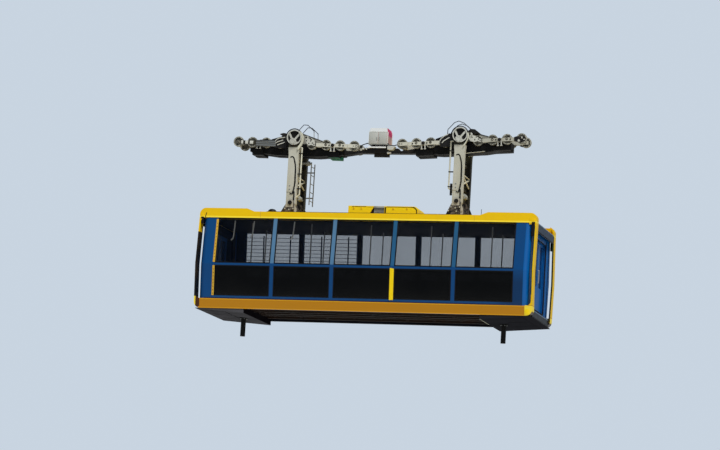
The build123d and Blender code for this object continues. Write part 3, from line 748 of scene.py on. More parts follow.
class Piece:
    """A new piece: primitives shaped in edit mode, gathered, joined, dressed and hung on its body."""

    def __init__(self, name: str, place: Optional[Matrix] = None) -> None:
        """Start a piece.

        Args:
            name: the piece's name.
            place: where the piece's own axes lie, if not at the origin.
        """
        self.name = name
        self.place = place or Matrix.Identity(4)
        self.parts: list[Part] = []

    @staticmethod
    def _open(add: Callable[..., set], **options: Union[float, str]) -> Part:
        """Add a primitive alone in the selection and go into edit mode on all of it.

        Args:
            add: the operator that adds it.
            options: the operator's own options.

        Returns:
            The new part.
        """
        bpy.ops.object.select_all(action="DESELECT")
        add(**options)
        bpy.ops.object.mode_set(mode="EDIT")
        bpy.ops.mesh.select_all(action="SELECT")
        return bpy.context.object

    def _close(self, part: Part, place: Optional[Matrix] = None) -> Part:
        """Leave edit mode and set a part in its place.

        Args:
            part: the part that is being shaped.
            place: where it goes, if it isn't there yet.

        Returns:
            The same part.
        """
        bpy.ops.object.mode_set(mode="OBJECT")
        if place is not None:
            part.matrix_world = place
            bpy.ops.object.transform_apply(location=True, rotation=True, scale=True)
        self.parts.append(part)
        return part

    @staticmethod
    def _shape(part: Part, places: Sequence[Point]) -> None:
        """Move a part's corners, in their order, and stay in edit mode on all of it.

        Args:
            part: the part that is being shaped.
            places: the new place of each corner.
        """
        bpy.ops.object.mode_set(mode="OBJECT")
        for vertex, place in zip(part.data.vertices, places):
            vertex.co = place
        bpy.ops.object.mode_set(mode="EDIT")
        bpy.ops.mesh.select_all(action="SELECT")

    @staticmethod
    def _thicken(depth: Point) -> None:
        """Extrude the selected faces and turn all the part's faces outwards.

        Args:
            depth: the thickness as a vector.
        """
        bpy.ops.mesh.extrude_region_move(TRANSFORM_OT_translate={"value": depth})
        bpy.ops.mesh.select_all(action="SELECT")
        bpy.ops.mesh.normals_make_consistent(inside=False)

    @staticmethod
    def _bevel(width: float, segments: int = 2) -> None:
        """Round the selected edges."""
        if width > 0.0:
            bpy.ops.mesh.bevel(offset=width, segments=segments, affect="EDGES", clamp_overlap=True)

    @staticmethod
    def _pick_outer(part: Part) -> None:
        """Select the faces of a part that look along its own Z.

        Args:
            part: the part that is being shaped.
        """
        bpy.ops.mesh.select_mode(type="FACE")
        bpy.ops.mesh.select_all(action="DESELECT")
        bpy.ops.object.mode_set(mode="OBJECT")
        for polygon in part.data.polygons:
            polygon.select = polygon.normal.z > 0.99
        bpy.ops.object.mode_set(mode="EDIT")

    def slab(self, low: Point, high: Point, bevel: float = 0.003) -> Part:
        """Add a box with rounded edges.

        Args:
            low: one corner.
            high: the opposite corner.
            bevel: the rounding of its edges.

        Returns:
            The part.
        """
        part = self._open(bpy.ops.mesh.primitive_cube_add, size=1.0)
        bpy.ops.transform.resize(value=[abs(b - a) for a, b in zip(low, high)])
        self._bevel(bevel)
        return self._close(part, Matrix.Translation([(a + b) / 2 for a, b in zip(low, high)]))

    def turned(
        self, foot: Point, axis: Point, radius: float, depth: float,
        steps: Sequence[Flat] = (), sides: int = 20, bevel: float = 0.002,
    ) -> Part:
        """Add a turned part whose outer face is stepped in and out.

        Args:
            foot: the middle of its back face.
            axis: the way its outer face looks.
            radius: its outside radius.
            depth: its length.
            steps: how far each step goes in from the edge, and how far out or back.
            sides: how many faces it has round.
            bevel: the rounding of its outer edges.

        Returns:
            The part.
        """
        part = self._open(bpy.ops.mesh.primitive_cylinder_add, vertices=sides, radius=radius, depth=depth)
        self._bevel(min(bevel, depth / 3), 1)
        if steps:
            self._pick_outer(part)
            for inset, rise in steps:
                bpy.ops.mesh.inset(thickness=inset)
                bpy.ops.mesh.extrude_region_move(TRANSFORM_OT_translate={"value": (0.0, 0.0, rise)})
        middle = Matrix.Translation((0.0, 0.0, depth / 2))
        return self._close(part, Matrix.Translation(foot) @ facing(axis) @ middle)

    def stud(self, foot: Point, axis: Point, radius: float, depth: float, sides: int) -> None:
        """Add a plain small head, as of a bolt or a screw."""
        self.turned(foot, axis, radius, depth, (), sides, 0.001)

    def rod(self, start: Point, end: Point, radius: float, sides: int = 12) -> Part:
        """Add a round bar between two points."""
        along = Vector(end) - Vector(start)
        return self.turned(start, tuple(along), radius, along.length, sides=sides, bevel=radius * 0.2)

    def run(self, points: Sequence[Point], radius: float, sides: int = 8) -> None:
        """Add a pipe with a ball at each bend.

        Args:
            points: its ends and bends, in order.
            radius: its outside radius.
            sides: how many faces it has round.
        """
        for start, end in zip(points, points[1:]):
            self.rod(start, end, radius, sides)
        ball = bpy.ops.mesh.primitive_uv_sphere_add
        for bend in points[1:-1]:
            part = self._open(ball, segments=sides, ring_count=6, radius=radius)
            self._close(part, Matrix.Translation(bend))

    def hoop(self, centre: Point, axis: Point, radius: float, section: float, around: int = 36) -> None:
        """Add a ring of round section.

        Args:
            centre: its middle.
            axis: the way it faces.
            radius: from its middle to the middle of its section.
            section: its section's radius.
            around: how many faces it has round.
        """
        part = self._open(
            bpy.ops.mesh.primitive_torus_add, major_radius=radius, minor_radius=section,
            major_segments=around, minor_segments=8,
        )
        self._close(part, Matrix.Translation(centre) @ facing(axis))

    def plate(self, outline: Sequence[Flat], front: float, back: float, bevel: float = 0.002) -> None:
        """Add a plate that stands along the cabin.

        Args:
            outline: its corners in X and Z.
            front: where it starts across Y.
            back: where it ends across Y.
            bevel: the rounding of its edges.
        """
        part = self._open(bpy.ops.mesh.primitive_circle_add, vertices=len(outline), fill_type="NGON")
        self._shape(part, [(x, front, z) for x, z in outline])
        self._thicken(across(back - front))
        self._bevel(bevel, 1)
        self._close(part)

    def _face(self, corners: Sequence[Point]) -> Part:
        """Add a flat face between four corners and stay in edit mode on it.

        Args:
            corners: its corners, in order.

        Returns:
            The part.
        """
        part = self._open(bpy.ops.mesh.primitive_plane_add, size=1.0)
        self._shape(part, [corners[index] for index in (0, 1, 3, 2)])
        return part

    def rim(self, corners: Sequence[Point], width: float, depth: Point) -> None:
        """Add a frame round four corners.

        Args:
            corners: its outer corners, in order.
            width: how far it reaches inwards from them.
            depth: its thickness as a vector.
        """
        part = self._face(corners)
        bpy.ops.mesh.inset(thickness=width)
        bpy.ops.mesh.delete(type="FACE")
        bpy.ops.mesh.select_all(action="SELECT")
        self._thicken(depth)
        self._close(part)

    def panel(self, corners: Sequence[Point], depth: Point, bevel: float = 0.0015) -> None:
        """Add a flat panel between four corners.

        Args:
            corners: its corners, in order.
            depth: its thickness as a vector.
            bevel: the rounding of its edges.
        """
        part = self._face(corners)
        self._thicken(depth)
        self._bevel(bevel, 1)
        self._close(part)

    def spun(self, profile: Sequence[Flat], centre: Point, steps: int = 32) -> None:
        """Add a closed profile spun round an axis along Y.

        Args:
            profile: its corners, each as a reach from the axis and a place across.
            centre: the middle of the spun part.
            steps: how many faces it has round.
        """
        part = self._open(bpy.ops.mesh.primitive_circle_add, vertices=len(profile), fill_type="NOTHING")
        self._shape(part, [(0.0, y, reach) for reach, y in profile])
        bpy.ops.mesh.spin(steps=steps, angle=math.tau, center=(0.0, 0.0, 0.0), axis=(0.0, 1.0, 0.0))
        bpy.ops.mesh.select_all(action="SELECT")
        bpy.ops.mesh.remove_doubles(threshold=0.0002)
        bpy.ops.mesh.normals_make_consistent(inside=False)
        self._close(part, Matrix.Translation(centre))

    def repeat(self, part: Part, places: Sequence[Point]) -> None:
        """Add copies of a part, each with its own mesh.

        Args:
            part: the part to copy.
            places: how far each copy is moved from it.
        """
        for step in places:
            copy = part.copy()
            copy.data = part.data.copy()
            bpy.context.scene.collection.objects.link(copy)
            copy.data.transform(Matrix.Translation(step))
            self.parts.append(copy)

    def finish(self, material: Material, slot: Slot, body: str = CABIN) -> Part:
        """Join the parts, dress them and hang them on a body.

        Args:
            material: the finish.
            slot: the record's slot that the finish stands for; not used.
            body: the body that the piece rides on.

        Returns:
            The finished piece.
        """
        bpy.ops.object.select_all(action="DESELECT")
        for part in self.parts:
            part.select_set(True)
        whole = self.parts[0]
        bpy.context.view_layer.objects.active = whole
        if len(self.parts) > 1:
            bpy.ops.object.join()
        whole.matrix_world = self.place
        bpy.ops.object.transform_apply(location=True, rotation=True, scale=True)
        bpy.ops.object.shade_smooth_by_angle(angle=math.radians(SHARP_DEGREES))
        whole.name = self.name
        whole.data.name = self.name
        whole.data.materials.clear()
        whole.data.materials.append(material)
        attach(whole, body)
        LOG.info("%s: %d faces on %s", self.name, len(whole.data.polygons), body)
        return whole


def dress(material: Material, *nodes: str) -> None:
    """Give whole nodes of the frame a finish.

    Args:
        material: the finish.
        nodes: the nodes' names.
    """
    for node in nodes:
        for slot in bpy.data.objects[node].material_slots:
            slot.material = material


@dataclass
class Glazing:
    """The window rubbers, bars, strips and rails of one long side, heights over the cabin's base."""

    flank: Flank
    looks: Finishes
    rubber: float = 0.034
    lap: float = 0.012
    proud: float = 0.006
    rubber_sink: float = 0.012
    strip_heights: Line = ((0.41, 1.36), (1.47, 2.88))
    strip_reach: Flat = (-0.068, 0.004)
    strip_depth: float = 0.009
    screw_pitch: float = 0.11
    screw_start: float = 0.06
    post: Line = ((0.92, 0.385), (1.05, 0.385), (1.05, 1.37), (0.92, 1.39))
    post_sink: float = 0.002
    post_depth: float = 0.018
    hand_rails: tuple[Point, ...] = ((-4.43, -1.15, 0.55), (-3.79, -1.15, 0.44), (-2.44, -1.15, 0.5))
    hand_rail_bend: Line = ((-0.035, 0.0), (-0.05, -0.08), (-0.11, -0.14))
    hand_rail_radius: float = 0.021
    guard_bays: int = 2
    guard_heights: Flat = (1.53, 2.75)
    guard_pitch: float = 0.122
    guard_inset: float = 0.07
    guard_ends: Flat = (0.06, 0.08)
    guard_stiles: Row = (0.34, 0.84)
    bar_height: float = 1.3
    bar_inset: float = 0.11
    bar_radius: float = 0.018
    wall_depth: float = 0.049

    def corner(self, x: float, height: float, out: float = 0.0) -> Point:
        """Return a point on the leaning wall, or so far out from it."""
        return x, self.flank.sign * (FRAME.side_y(height) + out), BASE_Z + height

    def build(self) -> None:
        """Dress the side and add its pieces."""
        dress(self.looks.walls[self.flank], f"side_wall_{self.flank}")
        dress(self.looks.frames[self.flank], f"side_frame_{self.flank}")
        dress(self.looks.glass, f"side_panes_{self.flank}")
        self._rubbers()
        self._handrail()
        if self.flank is Flank.NEAR:
            self._edge_strip()
            self._post()
            self._hand_rails()
        else:
            self._guard_bars()

    def _rubbers(self) -> None:
        """Add the rubber round each upper and lower window."""
        rubbers = Piece(f"window_rubbers_{self.flank}")
        rail = FRAME.rail_depth / 2 - self.lap
        depth = across(-self.flank.sign * (self.proud + self.rubber_sink))
        for start, end in (FRAME.bay(index) for index in range(FRAME.bays)):
            lower = (FRAME.sill_height, FRAME.rail_height - rail)
            upper = (FRAME.rail_height + rail, FRAME.window_top)
            for low, high in (lower, upper):
                outline = oblong(start - self.lap, end + self.lap, low, high)
                rubbers.rim([self.corner(x, z, self.proud) for x, z in outline], self.rubber, depth)
        rubbers.finish(self.looks.rubber, Slot.DARK)

    def _edge_strip(self) -> None:
        """Add the gold strip with its screws along the first window."""
        strip = Piece("window_edge_strip")
        screws = Piece("edge_strip_screws")
        left, right = (FRAME.bay(0)[0] + reach for reach in self.strip_reach)
        for low, high in self.strip_heights:
            outline = oblong(left, right, low, high)
            strip.panel([self.corner(x, z) for x, z in outline], across(-self.strip_depth))
            for step in range(int((high - low) / self.screw_pitch)):
                height = low + self.screw_start + self.screw_pitch * step
                screws.stud(self.corner((left + right) / 2, height, 0.008), across(-1), 0.013, 0.004, 8)
        strip.finish(self.looks.gold, Slot.YELLOW)
        screws.finish(self.looks.girder, Slot.DARK)

    def _post(self) -> None:
        """Add the yellow post at the fourth window."""
        post = Piece("window_post")
        corners = [self.corner(x, z, -self.post_sink) for x, z in self.post]
        post.panel(corners, across(-self.post_depth), 0.005)
        post.finish(self.looks.bright_yellow, Slot.YELLOW)

    def _hand_rails(self) -> None:
        """Add the bent hand rails that hang from the ceiling behind the first windows."""
        rails = Piece("hanging_hand_rails")
        top = BASE_Z + FRAME.roof_height - 0.02
        for x, y, drop in self.hand_rails:
            bends = [(x + aside, y, top - drop + down) for aside, down in self.hand_rail_bend]
            rails.run([(x, y, top), *bends], self.hand_rail_radius)
            rails.turned((x, y, top - 0.012), UP, 0.045, 0.02, ((0.012, 0.004),), 16)
        rails.finish(self.looks.white, Slot.PALE)

    def _guard_bars(self) -> None:
        """Add the guard bars inside the first far windows, with their stiles."""
        guard = Piece("far_guard_bars")
        lowest, highest = self.guard_heights
        ends = (lowest - self.guard_ends[0], highest + self.guard_ends[1])
        count = round((highest - lowest) / self.guard_pitch) + 1
        for start, end in (FRAME.bay(index) for index in range(self.guard_bays)):
            for height in (lowest + self.guard_pitch * step for step in range(count)):
                bar = [self.corner(x, height, -self.guard_inset) for x in (start - 0.02, end + 0.02)]
                guard.rod(*bar, 0.009, 6)
            for x in (start + (end - start) * share for share in self.guard_stiles):
                guard.rod(*(self.corner(x, height, -self.guard_inset) for height in ends), 0.022, 8)
            for x in (start - 0.02, end + 0.02):
                guard.rod(*(self.corner(x, height, -0.06) for height in ends), 0.014, 8)
        guard.finish(self.looks.navy, Slot.DARK)

    def _handrail(self) -> None:
        """Add the handrail inside the windows, with a bracket at each mullion."""
        bars = Piece(f"window_handrail_{self.flank}")
        reach = FRAME.bays * FRAME.mullion_pitch / 2
        left, right = (self.corner(x, self.bar_height, -self.bar_inset) for x in (-reach, reach))
        bars.rod(left, right, self.bar_radius)
        first = bars.rod(self.corner(-reach, self.bar_height, -self.wall_depth), left, self.bar_radius * 0.7)
        bars.repeat(first, [(FRAME.mullion_pitch * step, 0.0, 0.0) for step in range(1, FRAME.bays + 1)])
        bars.finish(self.looks.steel, Slot.ZINC)


@dataclass
class Roof:
    """The roof's locker, grey unit, aerial, joints and corner blocks, heights over the cabin's base."""

    looks: Finishes
    locker: tuple[Point, Point] = ((-0.71, -1.1, 2.97), (1.58, -0.2, 3.45))
    lid_spans: Line = ((-0.66, -0.13), (0.52, 1.41))
    lid_inset: float = 0.06
    catch_places: Row = (-0.55, -0.3, 0.75, 1.2)
    unit: tuple[Point, Point] = ((-0.035, -1.06, 2.97), (0.4797, -0.68, 3.42))
    unit_border: float = 0.05
    louvre_pitch: float = 0.042
    louvres: int = 7
    cheek: float = 0.165
    cheek_lap: float = 0.059
    cheek_edge: float = 0.01
    aerial: Point = (3.595, -0.9, 2.97)
    aerial_height: float = 0.46
    joint: tuple[Flat, Flat] = ((-4.95, -1.38), (-4.9, 1.38))
    joint_spans: Line = ((-0.59, -0.12), (0.55, 1.46))
    joint_upright: Flat = (0.495, 0.535)
    end_shadow_bend: Line = ((1.41, 3.428), (1.48, 3.4), (1.535, 3.34), (1.55, 3.146))
    band_joints: tuple[Line, ...] = (
        ((-3.5, 2.955), (-3.484, 2.955), (-3.484, 3.15), (-3.5, 3.15)),
        ((3.52, 2.955), (3.536, 2.955), (3.532, 3.12), (3.516, 3.12)),
    )
    band_slant: Line = ((-5.352, 2.907), (-5.326, 2.907), (-5.291, 3.087), (-5.317, 3.087))
    band_proud: float = 0.0145
    seal_half_length: float = 3.3
    cap_heights: Flat = (2.875, 3.06)
    cap_reach: dict[Side, Flat] = by_side((5.405, 5.505), (5.29, 5.5))
    infill_reach: Flat = (5.376, 5.478)
    infill_low: dict[Side, float] = by_side(2.74, 2.5)
    infill_top: float = 2.95
    foot_block: tuple[Flat, Flat] = ((5.285, 0.03), (5.44, 0.325))

    def build(self) -> None:
        """Dress the roof's nodes and add its pieces."""
        looks = self.looks
        dress(looks.yellow, "roof_deck")
        # The locker takes the brighter yellow, painted light to match the band.
        dress(looks.bright_yellow, "roof_locker")
        dress(looks.roof_grey, "roof_unit")
        dress(looks.black, "roof_beacon")
        dress(looks.ceiling, "ceiling_ribs")
        self._lids()
        self._unit_grille()
        self._unit_cheek()
        self._aerial()
        self._sheet_joints()
        self._corners()
        self._locker_joints()
        self._band_joints()

    def _lids(self) -> None:
        """Add the locker's two lids with their catches."""
        (_, front, _), (_, back, top) = self.locker
        top += BASE_Z
        lids = Piece("locker_lids")
        for start, end in self.lid_spans:
            low = (start, front + self.lid_inset, top - 0.002)
            lids.slab(low, (end, back - self.lid_inset, top + 0.014), 0.006)
        lids.finish(self.looks.bright_yellow, Slot.YELLOW)
        catches = Piece("locker_catches")
        for x in self.catch_places:
            catches.slab((x, front - 0.012, top - 0.11), (x + 0.05, front + 0.002, top - 0.03))
        catches.finish(self.looks.yellow, Slot.YELLOW)

    def _unit_grille(self) -> None:
        """Add the grey unit's front frame and louvres, and its cap over the locker's lip."""
        (x0, y0, low), (x1, _, high) = self.unit
        low += BASE_Z + self.unit_border
        high += BASE_Z - self.unit_border
        front = y0 + 0.001
        left, right = x0 + self.cheek + 0.015, x1 - 0.03
        grille = Piece("roof_unit_grille")
        grille.rim([(x, front, z) for x, z in oblong(left, right, low, high)], 0.02, across(-0.013))
        corner = (left + 0.02, front - 0.011, low + 0.03)
        first = grille.slab(corner, (right - 0.02, front + 0.002, low + 0.045))
        grille.repeat(first, [(0.0, 0.0, self.louvre_pitch * step) for step in range(1, self.louvres)])
        lip = self.locker[0][1]
        crest = BASE_Z + self.locker[1][2]
        grille.slab((left - 0.015, lip - 0.006, crest - 0.06), (x1, lip + 0.01, crest - 0.004))
        grille.finish(self.looks.grey, Slot.GREY)

    def _unit_cheek(self) -> None:
        """Add the dark wedge of painted shadow in the recess and the yellow cheek before the grey unit's left
        part.
        """
        (x0, y0, low), (_, _, high) = self.unit
        front = y0 + 0.001
        low += BASE_Z + self.unit_border
        top = BASE_Z + high - 0.01
        ledge = BASE_Z + FRAME.parapet
        end = x0 + self.cheek
        slope = end - self.cheek_edge
        # A dark wedge of painted shadow in the recess beside the unit.
        recess_shadow = Piece("roof_unit_recess_shadow")
        recess_shadow.plate([(x0, low), (end, low), (end, top), (slope, top), (x0, ledge)], front, y0 - 0.008, 0.0)
        recess_shadow.finish(self.looks.girder, Slot.DARK)
        edge = x0 - self.cheek_lap
        cheek = Piece("roof_unit_cheek")
        cheek.plate([(edge, low), (x0, low), (x0, ledge), (slope, top), (edge, top)], front, y0 - 0.036)
        cheek.finish(self.looks.bright_yellow, Slot.YELLOW)

    def _aerial(self) -> None:
        """Add the thin aerial on its foot."""
        x, y, height = self.aerial
        foot = BASE_Z + height
        aerial = Piece("radio_aerial")
        aerial.turned((x, y, foot), UP, 0.03, 0.03, ((0.012, 0.02),))
        aerial.rod((x, y, foot + 0.03), (x, y, foot + self.aerial_height), 0.008, 8)
        aerial.finish(self.looks.black, Slot.BLACK)

    def _sheet_joints(self) -> None:
        """Add the sealing strips over the roof sheets' joints."""
        strips = Piece("roof_sheet_joints")
        deck = BASE_Z + FRAME.roof_height
        low, high = self.joint
        first = strips.slab((*low, deck - 0.001), (*high, deck + 0.008), 0.002)
        strips.repeat(first, [(FRAME.mullion_pitch * step, 0.0, 0.0) for step in range(1, FRAME.bays + 1)])
        strips.finish(self.looks.yellow, Slot.YELLOW)

    def _corners(self) -> None:
        """Add the corner blocks of the roof band and the lower band, and the dark infills between."""
        caps = Piece("roof_corner_blocks")
        infills = Piece("corner_infills")
        feet = Piece("band_corner_blocks")
        foot_low, foot_high = self.foot_block
        for flank in Flank:
            for side in Side:
                outer = FRAME.side_y(3.0) + 0.018
                self._block(caps, flank, side, self.cap_reach[side], (outer - 0.04, outer), self.cap_heights)
                low = self.infill_low[side]
                outer = FRAME.side_y(low)
                depths, heights = (outer - 0.12, outer + 0.002), (low, self.infill_top)
                self._block(infills, flank, side, self.infill_reach, depths, heights)
                outer = FRAME.side_y(0.16) + 0.012
                if side is Side.RIGHT:
                    reach, heights = zip(foot_low, foot_high)
                    self._block(feet, flank, side, reach, (outer - 0.03, outer + 0.007), heights)
        caps.finish(self.looks.yellow, Slot.YELLOW)
        infills.finish(self.looks.black, Slot.BLACK)
        feet.finish(self.looks.bright_yellow, Slot.YELLOW)

    @staticmethod
    def _block(piece: Piece, flank: Flank, side: Side, reach: Flat, out: Flat, heights: Flat) -> None:
        """Add a block at one corner of the cabin.

        Args:
            piece: the piece that it belongs to.
            flank: its long side.
            side: its end.
            reach: how far from the middle it starts and ends along the cabin.
            out: how far from the centre plane it starts and ends.
            heights: how high over the base it starts and ends.
        """
        low, high = (
            (side.sign * x, y, BASE_Z + z)
            for x, y, z in zip(reach, sorted(flank.sign * y for y in out), heights)
        )
        piece.slab(low, high, 0.006)

    def _locker_joints(self) -> None:
        """Add the dark joints round the grey unit and along the locker's top edge, and a dark band of painted
        shadow round the locker's end.
        """
        front = self.locker[0][1] + 0.002
        top = BASE_Z + self.locker[1][2]
        low = BASE_Z + FRAME.parapet
        lines = Piece("locker_joints_and_end_shadow")
        lines.plate(oblong(*self.joint_upright, low - 0.1, top - 0.03), front, front - 0.008, 0.0)
        for start, end in self.joint_spans:
            lines.slab((start, front - 0.009, top - 0.028), (end, front + 0.002, top - 0.016), 0.002)
        # A dark band of painted shadow round the locker's end.
        bend = [(x, BASE_Z + height) for x, height in self.end_shadow_bend]
        lines.plate(band(bend, 0.03), front, front - 0.006, 0.0)
        lines.finish(self.looks.girder, Slot.DARK)

    def _band_joints(self) -> None:
        """Add the roof band's joints, its slanting end joint and the dark seal along its top edge."""
        joints = Piece("roof_band_joints")
        seals = Piece("roof_band_seals")
        for flank in Flank:
            for line, piece in (*((line, joints) for line in self.band_joints), (self.band_slant, seals)):
                corners = [(x, flank.sign * (FRAME.side_y(z) + self.band_proud), BASE_Z + z) for x, z in line]
                piece.panel(corners, across(flank.sign * 0.004), 0.0)
            edge = FRAME.side_y(FRAME.parapet)
            y0, y1 = sorted((flank.sign * (edge - 0.004), flank.sign * (edge + 0.013)))
            z = BASE_Z + FRAME.parapet
            seals.slab((-self.seal_half_length, y0, z - 0.002), (self.seal_half_length, y1, z + 0.014))
        joints.finish(self.looks.gold, Slot.YELLOW)
        seals.finish(self.looks.black, Slot.BLACK)


@dataclass
class Underside:
    """The bearers, pipes, hatches, edge strips and post fittings under the floor."""

    looks: Finishes
    bearer: tuple[Point, Point] = ((-3.62, -1.44, 0.09), (-3.54, 1.44, 0.24))
    bearer_pitch: float = 0.895
    bearers: int = 9
    pipe_places: Line = ((-0.72, 0.075), (-0.66, 0.075), (0.74, 0.075))
    pipe_radius: float = 0.017
    pipe_reach: float = 3.84
    trunking: tuple[Flat, Flat] = ((0.05, 0.06), (0.2, 0.092))
    pod_depth: float = 0.13
    pod_end_depth: float = 0.015
    pod_length: float = 1.625
    hatch_x: float = 4.86
    hatch_places: Row = (-0.95, 0.0, 0.95)
    hatch_half: Flat = (0.34, 0.36)
    strip_starts: Flat = (-4.62, 4.0)
    strip_length: float = 0.24
    shoe_drop: float = 0.665
    shoe_radius: float = 0.0805
    flange_drop: float = 0.1316
    flange_bolts: int = 6
    flange_radius: float = 0.105

    def build(self) -> None:
        """Dress the nodes under the floor and add the pieces."""
        looks = self.looks
        dress(looks.floor, "floor_deck")
        dress(looks.girder, "floor_girders")
        dress(looks.pod, "end_underfloors")
        dress(looks.black, "docking_posts", "door_rails")
        dress(looks.fascia, "end_fascias", "end_sills")
        dress(looks.steel, "grab_poles")
        self._bearers()
        self._pipes()
        self._hatches()
        self._posts()
        self._edges()

    def _bearers(self) -> None:
        """Add the cross bearers between the long girders."""
        bearers = Piece("cross_bearers")
        first = bearers.slab(*((x, y, BASE_Z + z) for x, y, z in self.bearer), 0.004)
        bearers.repeat(first, [(self.bearer_pitch * step, 0.0, 0.0) for step in range(1, self.bearers)])
        bearers.finish(self.looks.girder, Slot.UNDER)

    def _pipes(self) -> None:
        """Add the cable trunking and the pipes along the underside, in the dark girder finish as painted
        shade.
        """
        pipes = Piece("underfloor_pipes")
        reach = self.pipe_reach
        for y, z in self.pipe_places:
            pipes.rod((-reach, y, BASE_Z + z), (reach, y, BASE_Z + z), self.pipe_radius, 8)
        (y0, z0), (y1, z1) = self.trunking
        pipes.slab((-reach, y0, BASE_Z + z0), (reach, y1, BASE_Z + z1), 0.004)
        # The zinc pipes and trunking take the dark girder finish, painted shade under the floor.
        pipes.finish(self.looks.girder, Slot.UNDER)

    def _hatches(self) -> None:
        """Add the hatches of each end housing's sloping underside."""
        hatches = Piece("underfloor_hatches")
        slope = math.atan2(self.pod_depth - self.pod_end_depth, self.pod_length)
        drop = self.pod_depth - (self.hatch_x - FRAME.pod_start) * math.tan(slope)
        half_length, half_width = self.hatch_half
        for sign in SIGNS:
            turn = Matrix.Rotation(-sign * slope, 4, "Y")
            place = Matrix.Translation((sign * self.hatch_x, 0.0, BASE_Z - drop)) @ turn
            for y in self.hatch_places:
                low, high = (-half_length, y - half_width, -0.012), (half_length, y + half_width, 0.004)
                part = hatches.slab(low, high, 0.005)
                part.data.transform(place)
        hatches.finish(self.looks.pod, Slot.UNDER)

    def _edges(self) -> None:
        """Add the pale edge strips: inside the right housing, and beside each docking post."""
        edges = Piece("housing_edge_strips")
        low = BASE_Z - self.pod_depth
        start = FRAME.pod_start
        edges.slab((start - 0.004, -1.46, low - 0.004), (start + 0.012, -0.1, low + 0.012), 0.002)
        for x in self.strip_starts:
            edges.slab((x, -1.475, BASE_Z - 0.028), (x + self.strip_length, -1.445, BASE_Z - 0.004))
        edges.finish(self.looks.pod_edge, Slot.UNDER)

    def _posts(self) -> None:
        """Add the rubber shoe and the flange bolts of each docking post."""
        shoes = Piece("post_shoes")
        bolts = Piece("post_bolts")
        flange = BASE_Z - self.flange_drop + 0.001
        for sign in SIGNS:
            x = sign * FRAME.post_x
            foot = (x, 0.0, BASE_Z - self.shoe_drop)
            shoes.turned(foot, DOWN, self.shoe_radius, 0.035, ((0.012, -0.006),), 28)
            for along, aside in circle_places(self.flange_bolts, self.flange_radius):
                bolts.turned((x + along, aside, flange), DOWN, 0.013, 0.011, ((0.003, 0.002),), 6, 0.001)
        shoes.finish(self.looks.rubber, Slot.BLACK)
        bolts.finish(self.looks.zinc, Slot.ZINC)


@dataclass
class EndFace:
    """One end of the cabin: its wall's joints, its doors' seal and handles, its fascia's painted highlight
    and shadow lines.
    """

    side: Side
    looks: Finishes
    doorway: tuple[Flat, Flat] = ((-0.7, 0.31), (0.7, 2.56))
    seal: float = 0.03
    joint_places: Flat = (0.78, 1.2)
    joint_half: float = 0.018
    joint_heights: Flat = (0.34, 2.72)
    strip_step: float = 0.05
    strip_half: float = 0.012
    strip_heights: Flat = (0.36, 2.7)
    handle_sink: float = 0.062
    handle_aside: float = 0.032
    handle_reach: float = 0.035
    handle_heights: Flat = (1.25, 1.65)

    @property
    def face(self) -> float:
        """Return where the wall's outer face stands along the cabin, just proud of it."""
        return self.side.sign * (FRAME.body_half + 0.001)

    def build(self) -> None:
        """Dress the end and add its pieces."""
        dress(self.looks.ends[self.side], f"end_wall_{self.side}")
        self._seal()
        self._panel_joints()
        self._fascia_lines()
        for leaf in Flank:
            self._door(leaf)

    def _seal(self) -> None:
        """Add the rubber seal round the doorway."""
        (left, low), (right, high) = self.doorway
        seal = Piece(f"doorway_seal_{self.side}")
        corners = [(self.face, y, BASE_Z + z) for y, z in oblong(left, right, low, high)]
        seal.rim(corners, self.seal, (self.side.sign * 0.012, 0.0, 0.0))
        seal.finish(self.looks.rubber, Slot.DARK)

    def _door(self, leaf: Flank) -> None:
        """Dress one door leaf and add its handle.

        Args:
            leaf: which of the end's two leaves.
        """
        name = f"{self.side}_{leaf}"
        dress(self.looks.door_blue, f"door_leaf_{name}")
        dress(self.looks.door_glass, f"door_pane_{name}")
        sign = self.side.sign
        x = sign * (FRAME.body_half - self.handle_sink)
        out = x + sign * self.handle_reach
        y = leaf.sign * self.handle_aside
        low, high = (BASE_Z + height for height in self.handle_heights)
        handle = Piece(f"door_handle_{name}")
        handle.run([(x, y, low), (out, y, low), (out, y, high), (x, y, high)], 0.009)
        handle.finish(self.looks.steel, Slot.ZINC, f"door_{name}")

    def _panel_joints(self) -> None:
        """Add the dark joints and the strips between the end wall's panels."""
        joints = Piece(f"end_panel_joints_{self.side}")
        strips = Piece(f"end_panel_strips_{self.side}")
        x0, x1 = sorted((self.face - self.side.sign * 0.004, self.face + self.side.sign * 0.01))
        for flank in Flank:
            for place in self.joint_places:
                for piece, y, half, (low, high) in (
                    (joints, flank.sign * place, self.joint_half, self.joint_heights),
                    (strips, flank.sign * (place + self.strip_step), self.strip_half, self.strip_heights),
                ):
                    piece.slab((x0, y - half, BASE_Z + low), (x1, y + half, BASE_Z + high), 0.002)
        joints.finish(self.looks.rubber, Slot.DARK)
        strips.finish(self.looks.door_blue, Slot.BLUE)

    def _fascia_lines(self) -> None:
        """Add the pale painted highlight along the top and the black painted shadow along the bottom of the
        end fascia and of the end sill.
        """
        # Pale painted highlights along the top edges and black painted shadows along the bottom edges.
        pale = Piece(f"end_edge_strips_{self.side}")
        dark = Piece(f"end_shadow_strips_{self.side}")
        for node in ("end_fascias", "end_sills"):
            low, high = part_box(node)
            x0, x1 = sorted((self.side.sign * (high[0] - 0.006), self.side.sign * (high[0] + 0.004)))
            half = high[1] - 0.06
            pale.slab((x0, -half, high[2] - 0.03), (x1, half, high[2] - 0.012), 0.002)
            dark.slab((x0, -half, low[2] + 0.004), (x1, half, low[2] + 0.034), 0.002)
        pale.finish(self.looks.blue_edge, Slot.NAVY)
        dark.finish(self.looks.black, Slot.BLACK)


